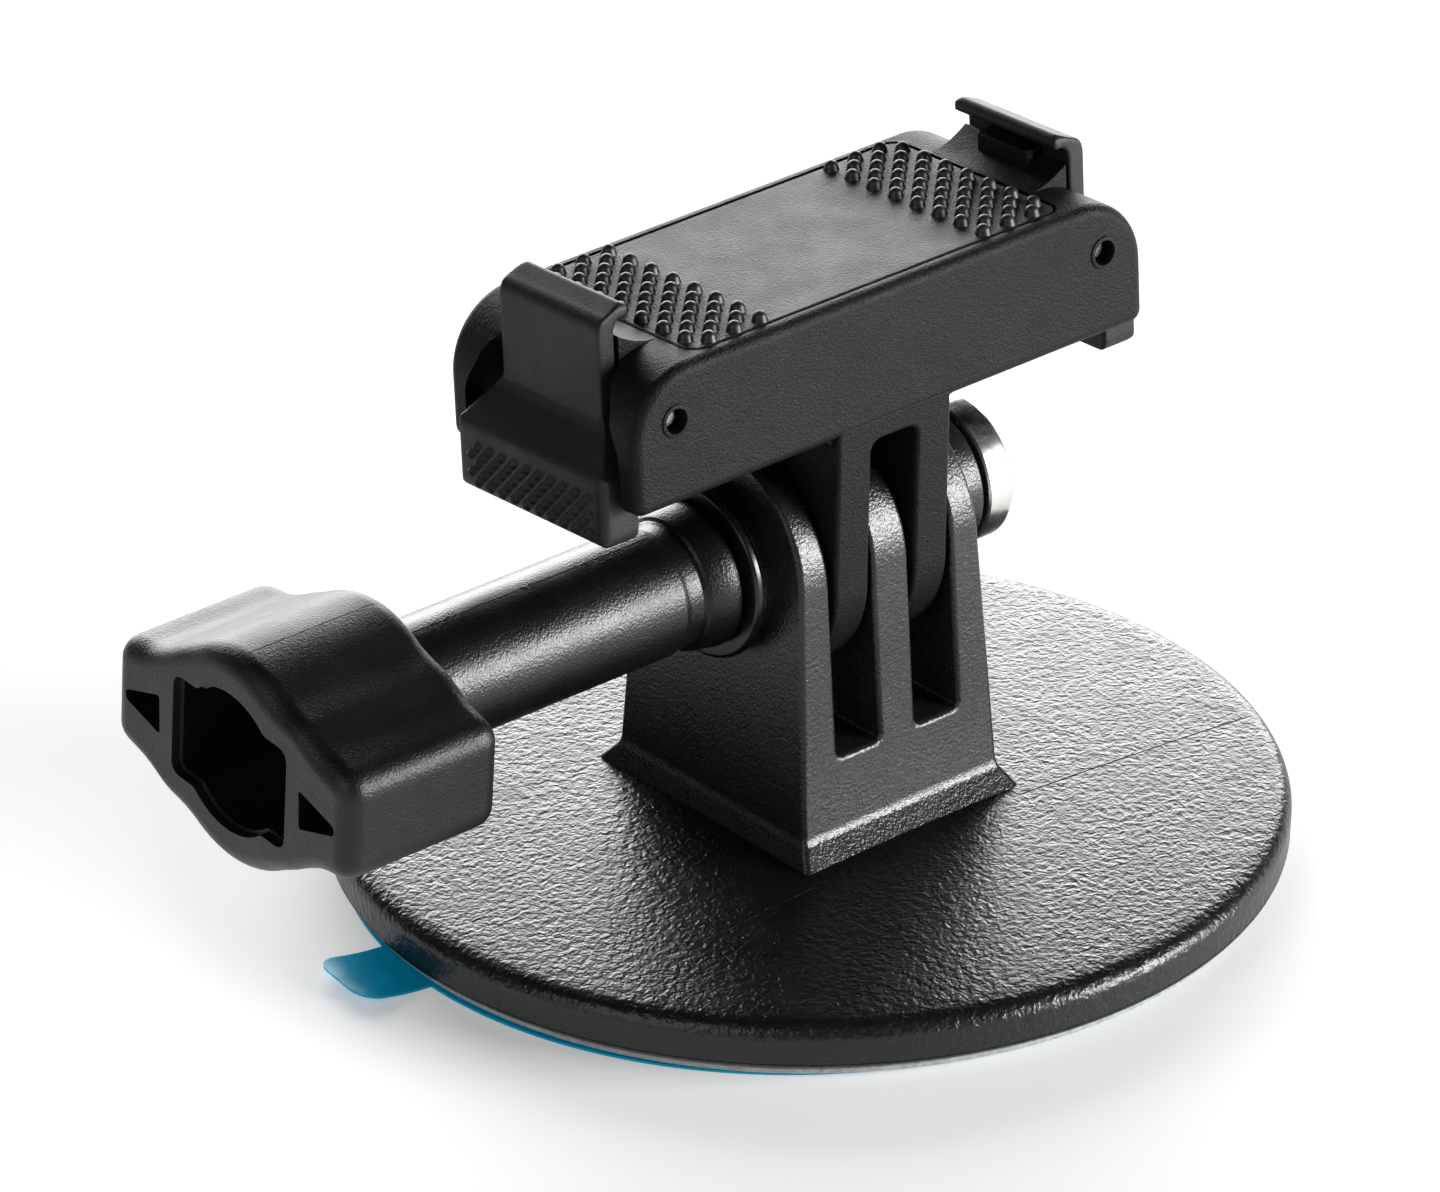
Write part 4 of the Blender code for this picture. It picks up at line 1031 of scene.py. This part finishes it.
def pip_profile():
    """Height and radius of one pip, from its sunk root to its round top."""
    top = PAD_HEIGHTS[1] + PIP_HEIGHT
    profile = [(PAD_HEIGHTS[1] - 0.1 * MM, PIP_RADIUS + 0.06 * MM), (PAD_HEIGHTS[1] + 0.05 * MM, PIP_RADIUS)]
    for step in range(5):
        angle = math.radians(18 * step)
        radius = PIP_RADIUS - 0.05 * MM - PIP_DOME * (1.0 - math.cos(angle))
        profile.append((top - PIP_DOME + PIP_DOME * math.sin(angle), radius))
    return profile + [(top, 0.03 * MM)]


def build_pad(finishes):
    outline = rounded_rectangle(PAD_HALF_LENGTH, PAD_HALF_DEPTH, PAD_CORNER)
    pad = rounded(make_object("rubber_pad", prism("Z", outline, *PAD_HEIGHTS)), PAD_EDGE)
    shape = bmesh.new()
    shape.from_mesh(pad.data)
    flat_faces = len(shape.faces)
    for x, y in pip_places():
        stud = bpy.data.meshes.new("stud")
        single = lathed("Z", pip_profile(), 14, x, y)
        bmesh.ops.recalc_face_normals(single, faces=single.faces)
        single.to_mesh(stud)
        single.free()
        shape.from_mesh(stud)
        bpy.data.meshes.remove(stud)
    shape.to_mesh(pad.data)
    shape.free()
    smoothed(pad, 40.0)
    seated(pad, "adapter", "grip_pad", "pad_rubber", finishes["pad"], finishes["pip"], place=ON_ADAPTER)
    for face in pad.data.polygons:
        face.material_index = 0 if face.index < flat_faces else 1


def build_magnets(finishes):
    for name, side in (("left", -1), ("right", 1)):
        outline = rounded_rectangle(*MAGNET_HALF, 0.5 * MM, 4, (side * MAGNET_CENTRE, 0.0))
        magnet = make_object(name + "_block_magnet", prism("Z", outline, *MAGNET_HEIGHTS))
        seated(smoothed(rounded(magnet, 0.15 * MM)), "adapter", name + "_magnet", "magnet_nickel",
               finishes["nickel"], place=ON_ADAPTER)
    outline = rounded_rectangle(*KEEPER_HALF, 0.6 * MM, 4)
    plate = rounded(make_object("steel_keeper", prism("Z", outline, *KEEPER_HEIGHTS)), 0.08 * MM)
    seated(smoothed(plate), "adapter", "keeper_plate", "plain_steel", finishes["wire"], place=ON_ADAPTER)


# ---- clips

def clip_side_view():
    """The clip's profile in X and Z, for the right end."""
    inner = CLIP_OUTER - CLIP_PLATE
    low_hook, outer_top, inner_top = CLIP_HOOK_HEIGHTS
    round_start = THUMB_OUTER - THUMB_ROUNDING
    points = [(THUMB_INNER, THUMB_BOTTOM), (round_start, THUMB_BOTTOM)]
    points += arc((round_start, THUMB_BOTTOM + THUMB_ROUNDING), THUMB_ROUNDING, 285, 360, 5)
    thumb_top = (THUMB_OUTER - THUMB_TOP_ROUNDING, CLIP_SHOULDER[1] - 0.35 * MM)
    points += arc(thumb_top, THUMB_TOP_ROUNDING, 0, 55, 6)
    points += [(CLIP_OUTER + 0.35 * MM, CLIP_SHOULDER[0] - 0.75 * MM),
               (CLIP_OUTER + 0.08 * MM, CLIP_SHOULDER[0] - 0.2 * MM),
               (CLIP_OUTER, CLIP_SHOULDER[0] + 0.4 * MM)]
    top_centre = (CLIP_OUTER - CLIP_TOP_ROUNDING, outer_top - CLIP_TOP_ROUNDING)
    points += arc(top_centre, CLIP_TOP_ROUNDING, 0, 80, 8)
    points += arc((CLIP_HOOK_INNER + CLIP_NOSE, inner_top - CLIP_NOSE), CLIP_NOSE, 90, 180, 7)
    points += arc((CLIP_HOOK_INNER + CLIP_LIP, low_hook + CLIP_LIP), CLIP_LIP, 180, 270, 4)
    points += arc((inner - CLIP_FILLET, low_hook - 0.65 * MM), CLIP_FILLET, 70, 0, 6)
    return points + [(inner, PIN_HEIGHT + 1.9 * MM), (THUMB_INNER - 0.1 * MM, 12.6 * MM)]


def clip_end_view():
    """The clip's outline in Y and Z: a narrow plate that widens into the thumb piece."""
    half = arc((THUMB_HALF_WIDTH - THUMB_ROUNDING, THUMB_BOTTOM + 0.8 * MM), THUMB_ROUNDING, 280, 360, 5)
    half += [(THUMB_HALF_WIDTH, CLIP_SHOULDER[1]), (CLIP_HALF_WIDTH, CLIP_SHOULDER[0])]
    top = max(CLIP_HOOK_HEIGHTS)
    half += arc((CLIP_HALF_WIDTH - CLIP_END_ROUNDING, top - CLIP_END_ROUNDING), CLIP_END_ROUNDING, 0, 88, 6)
    return half + list(reversed(flipped(half, -1)))


def clip_plan():
    """The clip's outline from above, in X and Y, with round outer corners."""
    corner = 0.8 * MM
    centre = (THUMB_OUTER + 0.06 * MM - corner, THUMB_HALF_WIDTH + 0.06 * MM - corner)
    outer = arc(centre, corner, 0, 90, 5)
    half = outer + [(10 * MM, outer[-1][1])]
    return half + [(across, -along) for across, along in reversed(half)]


def add_knurl(clip, side):
    """Rows of small pyramids on the thumb face, set on diagonal lines."""
    shape = bmesh.new()
    shape.from_mesh(clip.data)
    half = KNURL_PITCH / 2
    rows = int((KNURL_HEIGHTS[1] - KNURL_HEIGHTS[0]) / half) - 1
    columns = int(2 * KNURL_HALF_WIDTH / half) - 1
    base_x = THUMB_OUTER - 0.03 * MM
    for row in range(rows):
        for column in range(columns):
            if (row + column) % 2:
                continue
            up = KNURL_HEIGHTS[0] + half * (row + 1)
            across = half * (column - (columns - 1) / 2)
            corners = [shape.verts.new((side * base_x, across + dy * KNURL_REACH, up + dz * KNURL_REACH))
                       for dy, dz in ((1, 0), (0, 1), (-1, 0), (0, -1))]
            tip = shape.verts.new((side * (base_x + KNURL_RISE), across, up))
            faces = [shape.faces.new((corners[i], corners[(i + 1) % 4], tip)) for i in range(4)]
            faces.append(shape.faces.new(list(reversed(corners))))
            bmesh.ops.recalc_face_normals(shape, faces=faces)
    shape.to_mesh(clip.data)
    shape.free()


def add_hub(clip, side):
    """The barrel round the pin, its arm to the plate, and the room for the spring."""
    at = (side * PIN_X, PIN_HEIGHT)
    join(clip, rod("Y", HUB_RADIUS, -CLIP_HALF_WIDTH, CLIP_HALF_WIDTH, 48, *at))
    reach = THUMB_INNER - PIN_X + 0.4 * MM
    arm = [(0.0, -HUB_RADIUS + 0.1 * MM), (side * reach, -1.9 * MM), (side * reach, 1.2 * MM),
           (0.0, HUB_RADIUS - 0.1 * MM)]
    join(clip, prism("Y", shifted(arm, *at), -CLIP_HALF_WIDTH + 0.05 * MM, CLIP_HALF_WIDTH - 0.05 * MM))
    cut(clip, rod("Y", SPRING_ROOM_RADIUS, -SPRING_ROOM_HALF_WIDTH, SPRING_ROOM_HALF_WIDTH, 48, *at))
    wall = side * (THUMB_INNER - PIN_X - 0.15 * MM)
    far = side * -2.5 * MM
    chute = [(far, -1.0 * MM), (wall, -1.0 * MM), (wall, -2.5 * MM), (far, -2.5 * MM)]
    cut(clip, prism("Y", shifted(chute, *at), -SPRING_ROOM_HALF_WIDTH, SPRING_ROOM_HALF_WIDTH))
    cut(clip, rod("Y", HUB_HOLE_RADIUS, -8 * MM, 8 * MM, 40, *at))


def build_clip(name, side, finishes):
    side_view = flipped(clip_side_view(), side)
    clip = make_object(name + "_latch_lever", prism("Y", side_view, -8 * MM, 8 * MM))
    combine(clip, prism("X", clip_end_view(), 0.0, side * 30 * MM), "INTERSECT")
    combine(clip, prism("Z", flipped(clip_plan(), side), 0.0, 30 * MM), "INTERSECT")
    add_hub(clip, side)
    melted(clip, CLIP_VOXEL, CLIP_PASSES)
    add_knurl(clip, side)
    smoothed(clip, 40.0)
    seated(clip, name + "_latch", name + "_clip", "clip_plastic", finishes["clip"], place=ON_ADAPTER)


def spring_path(side):
    """A coil round the pin with one leg up to the body and one down behind the thumb piece."""
    steps = 24
    turns = SPRING_TURNS + 0.5
    half = turns * SPRING_PITCH / 2
    path = [Vector((-side * SPRING_RADIUS, -half, 1.35 * MM))]
    for index in range(int(turns * steps) + 1):
        angle = math.pi + 2.0 * math.pi * index / steps
        path.append(Vector((side * SPRING_RADIUS * math.cos(angle), -half + SPRING_PITCH * index / steps,
                            -SPRING_RADIUS * math.sin(angle))))
    path.append(Vector((side * SPRING_RADIUS, half, -SPRING_LEG)))
    return [point + Vector((side * PIN_X, 0.0, PIN_HEIGHT)) for point in path]


def tube(path, radius, sides):
    """A round wire along a path, with rings square to its local direction."""
    rings = []
    for index, point in enumerate(path):
        before = path[max(index - 1, 0)]
        after = path[min(index + 1, len(path) - 1)]
        along = (after - before).normalized()
        across = along.cross(Vector((0.0, 1.0, 0.0)))
        if across.length < 0.1:
            across = along.cross(Vector((1.0, 0.0, 0.0)))
        across.normalize()
        up = across.cross(along)
        rings.append([point + radius * (math.cos(2 * math.pi * step / sides) * across
                                        + math.sin(2 * math.pi * step / sides) * up)
                      for step in range(sides)])
    return loft(rings)


def build_hinge(name, side, finishes):
    spring = smoothed(make_object(name + "_coil_spring", tube(spring_path(side), SPRING_WIRE, 12)), 50.0)
    seated(spring, name + "_latch", name + "_torsion_spring", "plain_steel", finishes["wire"],
           place=ON_ADAPTER)
    half = PIN_HALF_LENGTH
    profile = [(-half, PIN_RADIUS - 0.15 * MM), (-half + 0.12 * MM, PIN_RADIUS),
               (half - 0.12 * MM, PIN_RADIUS), (half, PIN_RADIUS - 0.15 * MM)]
    pin = make_object(name + "_steel_pin", lathed("Y", profile, 48, side * PIN_X, PIN_HEIGHT))
    seated(smoothed(pin, 30.0), "adapter", name + "_hinge_pin", "plain_steel", finishes["wire"],
           place=ON_ADAPTER)


# ---- floor, light and camera

def build_floor():
    floor = make_object("floor", block((-3.0, -3.0, -0.02), (3.0, 3.0, -0.00002)))
    made, _, shader = new_material("floor_finish")
    set_inputs(shader, {"Base Color": (0.93, 0.93, 0.93, 1.0), "Roughness": 0.7,
                        "Emission Color": (1.0, 1.0, 1.0, 1.0), "Emission Strength": 0.27})
    floor.data.materials.append(made)


def add_panel(name, direction, distance, size, radiance):
    """A soft rectangular light; its power follows from its radiance and size."""
    light = bpy.data.lights.new(name, "AREA")
    light.shape = "RECTANGLE"
    light.size, light.size_y = size
    light.energy = radiance * math.pi * size[0] * size[1]
    made = in_scene(name, light)
    aim = Vector(LIGHT_AIM)
    where = aim + Vector(direction).normalized() * distance
    made.location = where
    made.rotation_euler = (where - aim).to_track_quat("Z", "Y").to_euler()


def build_light():
    world = bpy.data.worlds.new("studio")
    world.use_nodes = True
    background = world.node_tree.nodes["Background"]
    set_inputs(background, {"Color": (0.97, 0.985, 1.0, 1.0), "Strength": 0.03})
    bpy.context.scene.world = world
    add_panel("back_panel", (0.50, 0.72, 0.237), 0.8, (1.0, 0.34), 10.5)
    add_panel("right_panel", (0.58, -0.78, 0.18), 0.7, (0.38, 0.2), 37.0)
    add_panel("left_panel", (-0.80, -0.15, 0.45), 0.7, (0.5, 0.5), 1.6)


def build_camera():
    data = bpy.data.cameras.new("camera")
    data.lens = CAMERA_LENS
    data.sensor_width = 36.0
    data.sensor_fit = "HORIZONTAL"
    data.clip_start = 0.01
    data.clip_end = 20.0
    camera = in_scene("camera", data)
    forward = Vector(CAMERA_FORWARD).normalized()
    right = Vector(CAMERA_RIGHT)
    right = (right - forward * right.dot(forward)).normalized()
    up = right.cross(forward)
    columns = ((*right, 0.0), (*up, 0.0), (*-forward, 0.0), (*CAMERA_PLACE, 1.0))
    camera.matrix_world = Matrix(columns).transposed()
    bpy.context.scene.camera = camera
    bpy.context.scene.view_settings.view_transform = "Standard"


# ---- assembly

def build_object():
    finishes = make_finishes()
    for build in (build_base, build_adhesive, build_film, build_nut, build_screw, build_sleeve,
                  build_washer, build_knob, build_body, build_pad, build_magnets):
        build(finishes)
    for name, side in (("left", -1), ("right", 1)):
        build_clip(name, side, finishes)
        build_hinge(name, side, finishes)


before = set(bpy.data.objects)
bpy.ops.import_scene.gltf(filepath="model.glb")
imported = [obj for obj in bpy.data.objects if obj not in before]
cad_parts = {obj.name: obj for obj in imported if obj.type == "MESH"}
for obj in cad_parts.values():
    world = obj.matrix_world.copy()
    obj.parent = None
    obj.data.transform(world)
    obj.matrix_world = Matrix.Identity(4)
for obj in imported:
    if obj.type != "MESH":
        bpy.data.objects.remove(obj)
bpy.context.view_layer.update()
build_object()
build_floor()
build_light()
build_camera()
